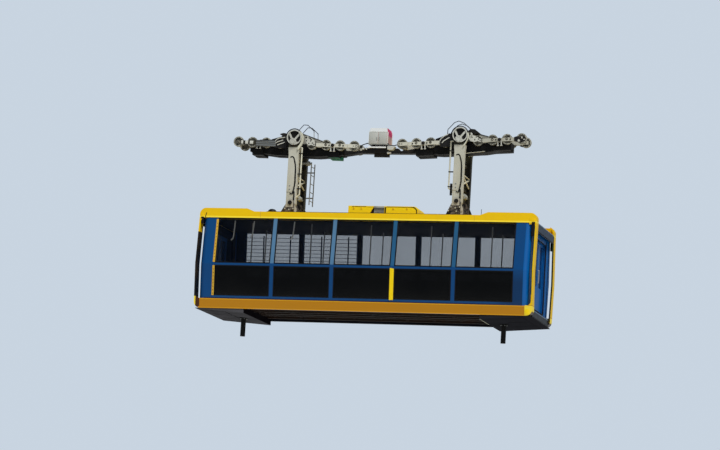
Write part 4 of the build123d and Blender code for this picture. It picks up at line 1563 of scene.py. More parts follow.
@dataclass
class Hanger:
    """The fittings of one hanger, placed from the middle of its hub."""

    side: Side
    looks: Finishes
    groove: Line = (
        (-0.09, -0.5), (-0.055, -0.472), (-0.015, -0.468), (0.03, -0.515), (0.084, -0.72),
        (0.105, -0.92), (0.112, -1.32), (0.085, -1.53), (0.035, -1.69), (-0.04, -1.665),
    )
    slit_shadow: Line = ((0.092, -1.6), (0.102, -1.72), (0.104, -1.9))
    groove_shadow_width: float = 0.042
    groove_shadow_proud: float = 0.0165
    plate_bolts: Row = (-1.42, -1.54)
    cap_place: Flat = (-0.04, 0.025)
    cap_face: float = 0.655
    cap_radius: float = 0.105
    cap_bolts: int = 6
    cap_bolt_ring: float = 0.088
    back_radius: float = 0.228
    guard_radius: float = 0.272
    guard_section: float = 0.017
    side_plate_faces: Flat = (0.594, 0.64)
    side_plates: dict[Side, Line] = by_side(
        left=(
            (0.15, 0.352), (0.2, 0.352), (0.272, 0.285), (0.318, 0.17), (0.312, 0.04),
            (0.278, -0.085), (0.205, -0.175), (0.168, -0.245), (0.128, -0.245), (0.128, -0.155),
            (0.188, -0.075), (0.232, 0.02), (0.246, 0.12), (0.238, 0.23), (0.205, 0.3),
        ),
        right=(
            (0.238, 0.23), (0.262, 0.24), (0.288, 0.165), (0.28, 0.06), (0.24, -0.05), (0.168, -0.185),
            (0.128, -0.22), (0.128, -0.155), (0.188, -0.075), (0.232, 0.02), (0.246, 0.12),
        ),
    )
    conduit_aside: dict[Side, float] = by_side(0.25, -0.31)
    conduit_heights: dict[Side, Flat] = by_side((-0.13, -1.7), (0.0, -1.55))
    conduit_radius: float = 0.026
    clip_heights: Row = (-0.34, -1.02, -1.5)
    brace_x: float = 0.125
    brace_height: float = -1.27
    brace_rise: float = 0.13
    brace_radius: float = 0.026
    drum: Point = (0.1, -0.12, -1.74)
    drum_radius: float = 0.085
    drum_length: float = 0.24
    ladder_drum: Point = (0.29, 0.0, -0.58)
    ladder_drum_radius: float = 0.076
    ladder_drum_length: float = 0.11
    foot_height: float = 0.06
    foot_bolt: Flat = (-0.4, -0.7)
    foot_bolt_steps: tuple[Row, ...] = ((0.0, 0.27, 0.53, 0.8), (0.0, 0.4, 1.0, 1.4))
    lug_face: float = 0.064
    lug_bolts: Line = (
        (-0.16, 0.2), (-0.02, 0.23), (0.12, 0.2), (0.2, 0.3), (-0.24, 0.32), (0.02, 0.34),
    )
    pin_plate_gap: float = 0.064
    pin_plate_radius: float = 0.07

    @property
    def leg_face(self) -> float:
        """Return how far a leg's outer face stands from the centre plane."""
        return FRAME.leg_y + FRAME.leg_half_depth

    def build(self) -> None:
        """Dress the hanger's nodes and add its pieces."""
        dress(self.looks.cream, f"hanger_legs_{self.side}")
        dress(self.looks.ring, f"hub_rings_{self.side}")
        dress(self.looks.foot, f"hanger_foot_{self.side}")
        if self.side is Side.LEFT:
            dress(self.looks.zinc, "hanger_ladder")
        self._grooves()
        self._caps()
        self._conduit()
        self._braces()
        self._drums()
        self._foot()

    def _piece(self, what: str) -> Piece:
        """Start a piece of this hanger, placed from its hub."""
        return Piece(f"{what}_{self.side}", Matrix.Translation(FRAME.hub(self.side)))

    def _hang(self, piece: Piece, material: Material, slot: Slot) -> None:
        """Finish a piece and hang it on this hanger."""
        piece.finish(material, slot, f"hanger_{self.side}")

    def _grooves(self) -> None:
        """Add a black strip round each leg's cover plate, the groove there painted as shadow, with the
        plate's bolts.
        """
        groove_shadows = self._piece("leg_groove_shadow")
        bolts = self._piece("cover_bolts")
        for sign in SIGNS:
            # Black strips along the groove and the slit: real gaps, their darkness painted shadow.
            for line in (self.groove, self.slit_shadow):
                outline = band(line, self.groove_shadow_width)
                inner, outer = self.leg_face - 0.002, self.leg_face + self.groove_shadow_proud
                groove_shadows.plate(outline, sign * inner, sign * outer, 0.0)
            for z in self.plate_bolts:
                spot = (-0.06, sign * (self.leg_face + 0.013), z)
                bolts.turned(spot, across(sign), 0.022, 0.01, ((0.006, 0.004),), 10, 0.001)
        self._hang(groove_shadows, self.looks.black, Slot.BLACK)
        self._hang(bolts, self.looks.zinc, Slot.ZINC)

    def _caps(self) -> None:
        """Add the stepped cap on each hub disc, the black plate of painted shade inside its ring and the
        guard round it.
        """
        caps = self._piece("hub_caps")
        bolts = self._piece("hub_bolts")
        shade_plates = self._piece("hub_ring_shade_plates")
        sides = self._piece("hub_side_plates")
        x, z = self.cap_place
        for sign in SIGNS:
            face = sign * self.cap_face
            spot = (x, face - sign * 0.001, z)
            caps.turned(spot, across(sign), self.cap_radius, 0.012, ((0.03, 0.008), (0.02, -0.004)), 28)
            for along, up in circle_places(self.cap_bolts, self.cap_bolt_ring):
                bolts.stud((x + along, face + sign * 0.01, z + up), across(sign), 0.009, 0.008, 6)
            # A black disc of painted shade inside the ring.
            shade_plates.turned((0.0, sign * 0.5945, 0.165), across(sign), self.back_radius, 0.008, (), 36)
            shade_plates.hoop((-0.01, sign * 0.612, 0.172), across(1), self.guard_radius, self.guard_section, 40)
            inner, outer = self.side_plate_faces
            sides.plate(self.side_plates[self.side], sign * inner, sign * outer, 0.006)
        self._hang(caps, self.looks.ring, Slot.CREAM)
        self._hang(bolts, self.looks.zinc, Slot.ZINC)
        self._hang(shade_plates, self.looks.black, Slot.BLACK)
        self._hang(sides, self.looks.pale_cream, Slot.CREAM)

    def _conduit(self) -> None:
        """Add the pale conduit that runs down beside the near leg, with its clips."""
        conduit = self._piece("leg_conduit")
        clips = self._piece("conduit_clips")
        sign = -self.side.sign
        aside = self.conduit_aside[self.side]
        top, low = self.conduit_heights[self.side]
        y = -FRAME.leg_y
        route = [(sign * 0.15, y, top), (aside, y, top - 0.03), (aside, y, low), (sign * 0.14, y, low - 0.1)]
        conduit.run(route, self.conduit_radius)
        for z in self.clip_heights:
            low, high = (sign * 0.155, y - 0.034, z - 0.016), (aside + sign * 0.032, y + 0.034, z + 0.016)
            clips.slab(low, high, 0.004)
        if self.side is Side.RIGHT:
            clips.slab((-0.262, y - 0.03, -1.78), (-0.196, y + 0.03, -1.4), 0.008)
            clips.slab((-0.2, y - 0.02, -1.7), (-0.15, y + 0.02, -1.66), 0.004)
        self._hang(conduit, self.looks.pale_cream, Slot.CREAM)
        self._hang(clips, self.looks.dark, Slot.DARK)

    def _braces(self) -> None:
        """Add the crossed braces between the legs."""
        braces = self._piece("leg_braces")
        inner = FRAME.leg_y - FRAME.leg_half_depth + 0.004
        for x in (-self.brace_x, self.brace_x):
            for rise in (-self.brace_rise, self.brace_rise):
                start, end = (x, -inner, self.brace_height - rise), (x, inner, self.brace_height + rise)
                braces.rod(start, end, self.brace_radius, 8)
            braces.rod((x, -inner, -1.1), (x, inner, -1.1), 0.02, 8)
        self._hang(braces, self.looks.pale_cream, Slot.CREAM)

    def _drums(self) -> None:
        """Add the cable drum between the legs, and the left hanger's drum by the ladder."""
        drums = self._piece("cable_drum")
        inner = FRAME.leg_y - FRAME.leg_half_depth + 0.004
        x, _, z = self.drum
        drums.rod((x, -inner, z), (x, inner, z), 0.03)
        drums.turned(self.drum, across(1), self.drum_radius, self.drum_length, ((0.02, -0.01),), 24, 0.012)
        if self.side is Side.LEFT:
            steps = ((0.02, 0.008), (0.02, -0.01))
            radius, length = self.ladder_drum_radius, self.ladder_drum_length
            drums.turned(self.ladder_drum, (1.0, 0.0, 0.0), radius, length, steps, 24, 0.012)
            drums.slab((0.08, -0.03, -0.615), (0.3, 0.03, -0.555), 0.006)
            drums.rod((0.42, 0.0, -0.58), (0.42, 0.11, -0.6), 0.02, 10)
        self._hang(drums, self.looks.grey, Slot.GREY)

    def _foot(self) -> None:
        """Add the foot's base bolts, its lugs' bolts and the pin's end plates."""
        hub = FRAME.hub(self.side)
        pin = hub.z - FRAME.hanger_length
        deck = BASE_Z + FRAME.roof_height + self.foot_height
        bolts = Piece(f"foot_bolts_{self.side}")
        x, y = self.foot_bolt
        first = bolts.turned((hub.x + x, y, deck - 0.001), UP, 0.02, 0.018, ((0.005, 0.01),), 6)
        rows, columns = self.foot_bolt_steps
        bolts.repeat(first, [(along, aside, 0.0) for along in rows for aside in columns if along or aside])
        bolts.finish(self.looks.zinc, Slot.ZINC)
        studs = Piece(f"foot_lug_bolts_{self.side}")
        for sign in SIGNS:
            face = sign * (self.leg_face + self.lug_face - 0.001)
            for along, drop in self.lug_bolts:
                foot = (hub.x + along, face, pin - drop)
                studs.turned(foot, across(sign), 0.024, 0.014, ((0.006, 0.006),), 8)
        studs.finish(self.looks.cream, Slot.ZINC)
        keeps = Piece(f"foot_pin_plates_{self.side}")
        for leg in SIGNS:
            for sign in SIGNS:
                y = leg * FRAME.leg_y + sign * (FRAME.leg_half_depth + self.pin_plate_gap - 0.001)
                keeps.turned((hub.x, y, pin), across(sign), self.pin_plate_radius, 0.01, ((0.02, 0.006),), 24)
        keeps.finish(self.looks.dark, Slot.DARK)


@dataclass
class Wheels:
    """The grooved wheels of one carriage, in place of the plain ones of the frame."""

    side: Side
    looks: Finishes
    profile: Line = (
        (0.03, -0.04), (0.055, -0.04), (0.06, -0.02), (0.122, -0.02), (0.13, -0.04), (0.168, -0.042),
        (0.17, -0.036), (0.163, -0.024), (0.148, -0.014), (0.145, 0.0), (0.148, 0.014), (0.163, 0.024),
        (0.17, 0.036), (0.168, 0.042), (0.13, 0.04), (0.122, 0.02), (0.06, 0.02), (0.055, 0.04),
        (0.03, 0.04),
    )
    spin_steps: int = 28
    bolt_reach: float = 0.09
    bolt_sink: float = 0.019
    axle_half: float = 0.437
    axle_radius: float = 0.03

    def build(self) -> None:
        """Put a wheelset on every axle of the carriage."""
        line = FRAME.line(self.side)
        axles = [arm * FRAME.wheel(step) for arm in SIGNS for step in range(FRAME.wheels_per_arm)]
        for index, along in enumerate(axles):
            axle = line @ Vector((along, 0.0, 0.0))
            name = f"wheelset_{self.side}_{index + 1}"
            piece = self._wheelset(f"grooved_{name}", axle).finish(self.looks.wheel, Slot.WHEEL, name)
            self._store_reach(piece, axle)
            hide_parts(name)

    @staticmethod
    def _store_reach(piece: Part, axle: Vector) -> None:
        """Store how far each point of a wheelset lies from its axle, for its finish to read.

        Args:
            piece: the finished wheelset.
            axle: the middle of its axle.
        """
        reach = piece.data.attributes.new("reach", "FLOAT", "POINT")
        for vertex, stored in zip(piece.data.vertices, reach.data):
            stored.value = math.hypot(vertex.co.x - axle.x, vertex.co.z - axle.z)

    def _wheelset(self, name: str, axle: Vector) -> Piece:
        """Model one axle with its two wheels and their hub bolts.

        Args:
            name: the wheelset's name.
            axle: the middle of its axle.

        Returns:
            The piece, not yet finished.
        """
        piece = Piece(name, Matrix.Translation(axle))
        for sign in SIGNS:
            piece.spun(self.profile, across(sign * FRAME.rope_y), self.spin_steps)
            for height in (self.bolt_reach, -self.bolt_reach):
                foot = (0.0, sign * (FRAME.rope_y + self.bolt_sink), height)
                piece.stud(foot, across(sign), 0.012, 0.01, 6)
        piece.rod(across(-self.axle_half), across(self.axle_half), self.axle_radius, 20)
        return piece


@dataclass
class Carriage:
    """The fittings of one rope carriage, laid out along its own pitched line from the hub."""

    side: Side
    looks: Finishes
    bar_face: float = 0.428
    bar_up: float = -0.015
    cheek_faces: Flat = (0.4385, 0.4465)
    spacer_foot: float = 0.426
    spacer_end: float = 0.44
    spacer_radius: float = 0.018
    bolt_steps: tuple[int, ...] = (0, 2, 4)
    pin_face: float = 0.446
    lug_aside: float = 0.055
    lug_y: float = 0.414
    bar_end: Line = (
        (1.765, -0.071), (2.0, -0.078), (2.06, -0.075), (2.1, -0.045), (2.1, 0.015), (2.06, 0.045),
        (1.98, 0.041), (1.765, 0.041),
    )
    flange_faces: Flat = (0.21, 0.262)
    flange: Line = ((0.15, 0.35), (0.88, 0.12), (0.885, 0.136), (0.155, 0.366))
    shield: Line = (
        (-0.69, -0.17), (-0.3, -0.19), (-0.3, 0.2), (-0.36, 0.26), (-0.44, 0.24), (-0.62, 0.12),
        (-0.69, 0.06),
    )
    shield_faces: Flat = (0.45, 0.464)
    shield_posts: Line = ((-0.54, 0.0), (-0.4, 0.12), (-0.4, -0.12))
    pipe_face: float = 0.476
    pipe_radius: float = 0.017
    pipes: dict[Side, tuple[Line, ...]] = by_side(
        left=(
            ((-0.68, 0.045), (-0.62, 0.115), (-0.53, 0.155), (-0.36, 0.178)),
            ((-0.67, -0.03), (-0.6, 0.025), (-0.52, 0.05), (-0.42, 0.085)),
            ((-0.6, -0.085), (-0.52, -0.045), (-0.44, -0.02), (-0.36, 0.02)),
        ),
        right=(
            ((-0.69, 0.03), (-0.64, 0.1), (-0.54, 0.175), (-0.42, 0.222)),
            ((-0.62, -0.05), (-0.57, 0.01), (-0.47, 0.07), (-0.37, 0.118)),
        ),
    )
    hoods: dict[Side, Line] = by_side(
        left=(
            (-0.56, 0.285), (-0.44, 0.325), (-0.34, 0.315), (-0.3, 0.24), (-0.42, 0.19), (-0.5, 0.25),
        ),
        right=((0.24, 0.33), (0.34, 0.37), (0.46, 0.35), (0.62, 0.215), (0.46, 0.195), (0.3, 0.245)),
    )
    hood_faces: Flat = (0.25, 0.468)
    lever: Line = ((0.32, 0.235), (0.36, 0.19), (0.3, 0.13), (0.27, 0.02))
    lever_face: float = 0.475
    cheeks: dict[Side, Line] = by_side(
        left=(
            (0.3, 0.25), (0.37, 0.262), (0.5, 0.2), (0.62, 0.125), (0.66, 0.035), (0.66, -0.055),
            (0.6, -0.06), (0.55, -0.03), (0.45, -0.055), (0.38, 0.0), (0.33, 0.06),
        ),
        right=(
            (0.25, 0.13), (0.33, 0.18), (0.5, 0.13), (0.6, 0.045), (0.66, 0.03), (0.66, -0.055),
            (0.6, -0.06), (0.55, -0.03), (0.44, -0.06), (0.3, -0.02),
        ),
    )
    cheek_posts: tuple[Point, ...] = ((0.64, 0.426, -0.03), (0.36, 0.258, 0.15))
    cheek_marks: Line = ((0.36, 0.1), (0.45, 0.02), (0.5, 0.1), (0.57, 0.03), (0.625, -0.01))
    cheek_slot: Line = ((0.425, 0.207), (0.47, 0.185), (0.54, 0.128))
    block_spans: Line = ((-1.82, 0.035), (-1.665, 0.05), (-1.5, 0.06))
    block_heights: Flat = (-0.07, 0.035)
    block_y: float = 0.432
    cover_face: float = -0.488
    cover_start: Line = ((-1.335, 0.05), (-1.19, 0.056), (-1.19, -0.14), (-1.325, -0.15))
    cover_end: Line = ((-0.86, 0.06), (-0.7, 0.115), (-0.655, 0.1), (-0.655, 0.06))
    cover_edge: Line = ((-1.33, 0.042), (-0.84, 0.06), (-0.7, 0.1))
    cover_slats: Row = (-0.118, -0.052, 0.014)
    guide: Line = (
        (1.73, 0.045), (1.8, 0.065), (1.91, 0.03), (1.97, 0.062), (2.03, 0.06), (2.08, 0.0), (2.09, -0.07),
        (2.04, -0.115), (1.9, -0.125), (1.8, -0.115), (1.73, -0.09),
    )
    guide_faces: Flat = (0.4385, 0.452)
    guide_rollers: tuple[tuple[Flat, float, float, Line, int], ...] = (
        ((1.88, -0.078), 0.038, 0.01, ((0.015, -0.004),), 20), ((2.05, -0.045), 0.021, 0.008, (), 14),
    )
    guide_tongue: Line = ((1.965, -0.01), (2.0, -0.015), (1.998, 0.052), (1.963, 0.05))
    arm_strip: Line = ((0.08, -0.385), (0.74, -0.352), (0.74, -0.332), (0.08, -0.365))
    arm_strip_faces: Flat = (0.249, 0.268)

    def build(self) -> None:
        """Dress the carriage's nodes and add its pieces."""
        dress(self.looks.frame_paint, f"carriage_frame_{self.side}")
        dress(self.looks.light_bar, f"rocker_beams_{self.side}")
        dress(self.looks.housing, f"brake_housings_{self.side}")
        self._bar_bolts()
        self._lugs()
        self._bar_ends()
        self._gusset_flanges()
        self._shields()
        self._hoods()
        self._cheeks()
        if self.side is Side.LEFT:
            self._end_blocks()
            self._cover()
        else:
            self._end_guides()
            self._arm_strip()

    def _piece(self, what: str) -> Piece:
        """Start a piece named for this carriage, laid out along its line."""
        return Piece(f"{what}_{self.side}", FRAME.line(self.side))

    @staticmethod
    def _mount(piece: Piece, material: Material, slot: Slot) -> None:
        """Finish a piece and mount it on the carriages."""
        piece.finish(material, slot, CARRIAGES)

    @staticmethod
    def _both(piece: Piece, outline: Sequence[Flat], faces: Flat, bevel: float = 0.002) -> None:
        """Add a plate on each side of the carriage.

        Args:
            piece: the piece that the plates belong to.
            outline: their outline, along and up.
            faces: how far from the centre plane they start and end.
            bevel: the rounding of their edges.
        """
        for sign in SIGNS:
            piece.plate(outline, sign * faces[0], sign * faces[1], bevel)

    def _spacer(self, piece: Piece, along: float, up: float, sign: int) -> None:
        """Add the short round spacer that carries a plate before a balance beam.

        Args:
            piece: the piece that it belongs to.
            along: its place along the carriage.
            up: its place above the line.
            sign: the side that it stands on.
        """
        foot = (along, sign * self.spacer_foot, up)
        piece.rod(foot, (along, sign * self.spacer_end, up), self.spacer_radius, 10)

    def _bar_bolts(self) -> None:
        """Add the bolts and axle rings along the outer balance beams, and the caps at their pins."""
        bolts = self._piece("bar_bolts")
        for arm in SIGNS:
            for sign in SIGNS:
                for step in self.bolt_steps:
                    spot = (arm * FRAME.wheel((step + 0.5) / 2), sign * self.bar_face, self.bar_up)
                    bolts.turned(spot, across(sign), 0.024, 0.012, ((0.008, 0.006),), 10)
                if self.side is not Side.LEFT or arm + sign > -2:
                    pin = (arm * FRAME.pin_along, sign * self.pin_face, self.bar_up)
                    bolts.turned(pin, across(sign), 0.058, 0.01, ((0.02, 0.006),))
                for step in range(FRAME.wheels_per_arm):
                    centre = (arm * FRAME.wheel(step), sign * (self.bar_face + 0.001), 0.0)
                    bolts.hoop(centre, across(1), 0.038, 0.006, 20)
        self._mount(bolts, self.looks.dark, Slot.DARK)

    def _lugs(self) -> None:
        """Add the pair of pale lugs below the middle of each balance beam."""
        lugs = self._piece("bar_lugs")
        for arm in SIGNS:
            for sign in SIGNS:
                y = sign * self.lug_y
                for along in (arm * FRAME.pin_along - self.lug_aside, arm * FRAME.pin_along + self.lug_aside):
                    lugs.slab((along - 0.017, y - 0.012, -0.2), (along + 0.017, y + 0.012, -0.065), 0.004)
                    lugs.slab((along - 0.035, y - 0.016, -0.215), (along + 0.035, y + 0.016, -0.193), 0.004)
        self._mount(lugs, self.looks.ring, Slot.GREY)

    def _bar_ends(self) -> None:
        """Add the rounded end of each balance beam before the last inboard wheel, with its dark ring."""
        ends = self._piece("bar_ends")
        rings = self._piece("bar_end_rings")
        arm = -self.side.sign
        inner, outer = self.cheek_faces
        for sign in SIGNS:
            ends.plate([(arm * along, up) for along, up in self.bar_end], sign * inner, sign * outer)
            self._spacer(ends, arm * 1.785, self.bar_up, sign)
            rings.hoop((arm * 2.045, sign * 0.447, -0.017), across(1), 0.036, 0.007, 20)
            rings.stud((arm * 1.95, sign * 0.446, self.bar_up), across(sign), 0.016, 0.006, 10)
        self._mount(ends, self.looks.light_bar, Slot.CREAM)
        self._mount(rings, self.looks.dark, Slot.DARK)

    def _gusset_flanges(self) -> None:
        """Add the flanged edges along the sloping gussets."""
        ribs = self._piece("gusset_flanges")
        inner, outer = self.flange_faces
        for sign in SIGNS:
            for arm in SIGNS:
                outline = [(arm * along, up) for along, up in self.flange]
                ribs.plate(outline, sign * inner, sign * outer, 0.003)
            ribs.slab((-0.155, sign * inner, 0.349), (0.155, sign * outer, 0.366))
        self._mount(ribs, self.looks.dark, Slot.GREY)

    def _shields(self) -> None:
        """Add the dark plate over each side's inner wheel, with its bent pale pipes."""
        shields = self._piece("wheel_shields")
        pipes = self._piece("shield_pipes")
        self._both(shields, self.shield, self.shield_faces, 0.003)
        for sign in SIGNS:
            for along, up in self.shield_posts:
                shields.rod((along, sign * 0.245, up), (along, sign * 0.452, up), 0.022, 10)
            for route in self.pipes[self.side]:
                pipes.run([(along, sign * self.pipe_face, up) for along, up in route], self.pipe_radius)
        self._mount(shields, self.looks.dark, Slot.DARK)
        self._mount(pipes, self.looks.ring, Slot.PALE)

    def _hoods(self) -> None:
        """Add the dark hood beside the hub ring, with the right carriage's pale lever under it."""
        hoods = self._piece("hub_hoods")
        levers = self._piece("hub_levers")
        self._both(hoods, self.hoods[self.side], self.hood_faces, 0.006)
        if self.side is Side.RIGHT:
            for sign in SIGNS:
                hoods.rod((0.32, sign * 0.24, 0.2), (0.32, sign * 0.47, 0.2), 0.028, 10)
                levers.run([(along, sign * self.lever_face, up) for along, up in self.lever], 0.026)
        self._mount(hoods, self.looks.dark, Slot.DARK)
        if levers.parts:
            self._mount(levers, self.looks.ring, Slot.PALE)

    def _cheeks(self) -> None:
        """Add the pale cheek plate over the wheel beside the hub, with its slots and bolts."""
        cheeks = self._piece("wheel_cheeks")
        slots = self._piece("cheek_slots")
        self._both(cheeks, self.cheeks[self.side], self.cheek_faces)
        face = self.cheek_faces[1] - 0.0005
        for sign in SIGNS:
            for along, inner, up in self.cheek_posts:
                end = (along, sign * self.spacer_end, up)
                cheeks.rod((along, sign * inner, up), end, self.spacer_radius, 10)
            for along, up in self.cheek_marks:
                slots.stud((along, sign * face, up), across(sign), 0.02, 0.006, 10)
            if self.side is Side.LEFT:
                slots.stud((0.345, sign * face, 0.208), across(sign), 0.034, 0.003, 16)
                slots.plate(band(self.cheek_slot, 0.036), sign * face, sign * (face + 0.003), 0.0)
        self._mount(cheeks, self.looks.ring, Slot.CREAM)
        self._mount(slots, self.looks.dark, Slot.DARK)

    def _end_blocks(self) -> None:
        """Add the pale bearing blocks between the left end wheels."""
        blocks = Piece("end_bearing_blocks", FRAME.line(self.side))
        low, high = self.block_heights
        for y in (-self.block_y, self.block_y):
            for along, half in self.block_spans:
                blocks.slab((along - half, y - 0.01, low), (along + half, y + 0.01, high), 0.008)
        self._mount(blocks, self.looks.ring, Slot.PALE)

    def _cover(self) -> None:
        """Add the grey cover with its slats and dark top edge over the near side's outboard wheels."""
        line = FRAME.line(self.side)
        cover = Piece("louvred_cover", line)
        slats = Piece("cover_slats", line)
        edge = Piece("cover_edge", line)
        face = self.cover_face
        cover.plate(self.cover_start, -self.cheek_faces[0], face)
        cover.plate(self.cover_end, -0.462, face)
        self._spacer(cover, -1.3, -0.05, -1)
        for up in self.cover_slats:
            outline = [(-1.325, up), (-0.66, up + 0.01), (-0.66, up + 0.036), (-1.325, up + 0.026)]
            slats.plate(outline, face + 0.001, face - 0.0025, 0.001)
        edge.plate(band(self.cover_edge, 0.024), face + 0.001, face - 0.003, 0.0)
        self._mount(cover, self.looks.cover, Slot.GREY)
        self._mount(slats, self.looks.roof_grey, Slot.GREY)
        self._mount(edge, self.looks.dark, Slot.DARK)

    def _end_guides(self) -> None:
        """Add the dark end brackets with their rope guide rollers."""
        line = FRAME.line(self.side)
        brackets = Piece("end_guide_brackets", line)
        rollers = Piece("end_guide_rollers", line)
        self._both(brackets, self.guide, self.guide_faces, 0.004)
        face = self.guide_faces[1] - 0.001
        for sign in SIGNS:
            self._spacer(brackets, 1.76, -0.02, sign)
            for (along, up), radius, depth, steps, sides in self.guide_rollers:
                rollers.turned((along, sign * face, up), across(sign), radius, depth, steps, sides)
            rollers.plate(self.guide_tongue, sign * face, sign * (face + 0.007))
        self._mount(brackets, self.looks.dark, Slot.DARK)
        self._mount(rollers, self.looks.ring, Slot.GREY)

    def _arm_strip(self) -> None:
        """Add the pale strip under the outboard arm, a painted highlight along its lower edge."""
        strip = Piece("arm_edge_highlight", FRAME.line(self.side))
        # Pale painted highlight along the arm's lower edge.
        self._both(strip, self.arm_strip, self.arm_strip_faces)
        self._mount(strip, self.looks.pale_cream, Slot.PALE)


@dataclass
class ControlBox:
    """The box between the carriages with its doors, trims, tray and fittings."""

    looks: Finishes
    low: Point = (-0.39, -0.3, 0.125)
    high: Point = (0.23, 0.3, 0.665)
    door_gap: float = 0.15
    border: float = 0.05
    handle_places: Flat = (-0.05, 0.03)
    ring_inset: float = 0.08
    bracket: Line = (
        (0.225, 0.068), (0.49, 0.07), (0.475, 0.02), (0.405, -0.052), (0.245, -0.042),
    )
    bracket_back: float = -0.115
    end_fittings: tuple[tuple[Flat, Flat], ...] = (
        ((0.2, -0.155), (0.335, -0.092)),
        ((-0.64, -0.02), (-0.565, 0.045)),
        ((-0.52, -0.02), (-0.47, 0.045)),
    )
    end_fitting_faces: Flat = (-0.165, -0.115)
    conduits: tuple[tuple[Point, ...], ...] = (
        (
            (-0.385, -0.22, 0.175), (-0.46, -0.22, 0.165), (-0.6, -0.2, 0.125), (-0.72, -0.08, 0.1),
            (-0.76, -0.05, 0.02),
        ),
        (
            (0.225, -0.22, 0.175), (0.29, -0.22, 0.115), (0.44, -0.2, 0.105), (0.58, -0.12, 0.165),
            (0.72, -0.05, 0.12), (0.76, -0.05, 0.02),
        ),
    )
    conduit_radius: float = 0.016

    def build(self) -> None:
        """Dress the box and its beam and add the pieces."""
        dress(self.looks.cabinet, "control_box")
        dress(self.looks.dark, "link_beam")
        self._doors()
        self._trims()
        self._connections()

    def _doors(self) -> None:
        """Add the box's doors, their handles and the lifting rings."""
        (x0, y0, z0), (x1, _, z1) = self.low, self.high
        middle = (x0 + x1) / 2
        doors = Piece("cabinet_doors")
        for start, end in ((x0 + 0.02, middle - 0.004), (middle + 0.004, x1 - 0.02)):
            doors.slab((start, y0 - 0.01, z0 + 0.02), (end, y0 + 0.004, z1 - self.door_gap), 0.004)
        doors.finish(self.looks.cabinet, Slot.PALE, CARRIAGES)
        fittings = Piece("cabinet_fittings")
        for x in (middle + place for place in self.handle_places):
            fittings.slab((x, y0 - 0.026, z0 + 0.14), (x + 0.02, y0 - 0.008, z0 + 0.24), 0.004)
        for x in (x0 + self.ring_inset, x1 - self.ring_inset):
            fittings.hoop((x, 0.0, z1 + 0.012), across(1), 0.022, 0.006, 16)
        fittings.finish(self.looks.steel, Slot.ZINC, CARRIAGES)

    def _trims(self) -> None:
        """Add the pale frame round each end panel, and the white lip of the tray."""
        (x0, y0, z0), (x1, y1, z1) = self.low, self.high
        trims = Piece("cabinet_edge_frames")
        for face, out in ((x1, 1), (x0, -1)):
            start, end = sorted((face - out * 0.001, face + out * 0.009))
            trims.slab((start, y0, z0), (end, y0 + self.border, z1 - 0.135), 0.002)
            trims.slab((start, y1 - self.border, z0), (end, y1, z1 - 0.06), 0.002)
            trims.slab((start, y0, z0), (end, y1, z0 + self.border), 0.002)
        trims.slab((x0 - 0.01, y0 - 0.014, 0.004), (x1 - 0.035, y0 + 0.002, 0.049))
        trims.slab((x0 + 0.09, y0 - 0.006, z1 - 0.128), (x1 - 0.07, y0 + 0.03, z1 - 0.118), 0.002)
        trims.finish(self.looks.white, Slot.PALE, CARRIAGES)

    def _connections(self) -> None:
        """Add the cream bracket, the white end fittings and the two dark conduits at the tray."""
        bracket = Piece("cabinet_side_bracket")
        bracket.plate(self.bracket, self.low[1], self.bracket_back, 0.006)
        bracket.finish(self.looks.ring, Slot.CREAM, CARRIAGES)
        ends = Piece("cabinet_end_fittings")
        y0, y1 = self.end_fitting_faces
        for (x0, z0), (x1, z1) in self.end_fittings:
            ends.slab((x0, y0, z0), (x1, y1, z1), 0.014)
        ends.finish(self.looks.white, Slot.PALE, CARRIAGES)
        conduits = Piece("cabinet_conduits")
        for route in self.conduits:
            conduits.run(route, self.conduit_radius)
        conduits.finish(self.looks.black, Slot.BLACK, CARRIAGES)


@dataclass(frozen=True)
class PhotoCamera:
    """The camera that took the view, from edges of the cabin fitted to their places in the frame.

    Distances are metres and angles degrees. The aim point lies on the cabin's centre plane.
    """

    focal_pixels: float = 3000.0
    yaw: float = -15.58
    pitch: float = 8.87
    roll: float = 3.44
    aim_x: float = -0.5975
    aim_height: float = 3.009
    distance: float = 96.55
    sensor_width: float = 36.0
    clip_end: float = 1000.0

    def axes(self) -> tuple[Vector, Vector, Vector]:
        """Work out the way the camera looks.

        Returns:
            Its right, up and forward directions.
        """
        yaw, pitch, roll = (math.radians(a) for a in (self.yaw, self.pitch, self.roll))
        level = Vector((math.sin(yaw), math.cos(yaw), 0.0))
        right = Vector((math.cos(yaw), -math.sin(yaw), 0.0))
        upward = Vector(UP)
        forward = level * math.cos(pitch) + upward * math.sin(pitch)
        up = upward * math.cos(pitch) - level * math.sin(pitch)
        rolled_right = right * math.cos(roll) + up * math.sin(roll)
        rolled_up = up * math.cos(roll) - right * math.sin(roll)
        return rolled_right, rolled_up, forward

    def place(self) -> Vector:
        """Return where the camera stands."""
        aim = Vector((self.aim_x, 0.0, BASE_Z + self.aim_height))
        return aim - self.axes()[2] * self.distance

    def build(self) -> Part:
        """Add the camera and make it the scene's own.

        Returns:
            The camera object.
        """
        right, up, forward = self.axes()
        data = bpy.data.cameras.new("photo_camera")
        data.sensor_width = self.sensor_width
        data.sensor_fit = "HORIZONTAL"
        data.lens = self.focal_pixels * data.sensor_width / PHOTO_WIDTH
        data.clip_end = self.clip_end
        camera = bpy.data.objects.new("photo_camera", data)
        turn = Matrix((right, up, -forward)).transposed().to_4x4()
        camera.matrix_world = Matrix.Translation(self.place()) @ turn
        bpy.context.scene.collection.objects.link(camera)
        bpy.context.scene.camera = camera
        return camera


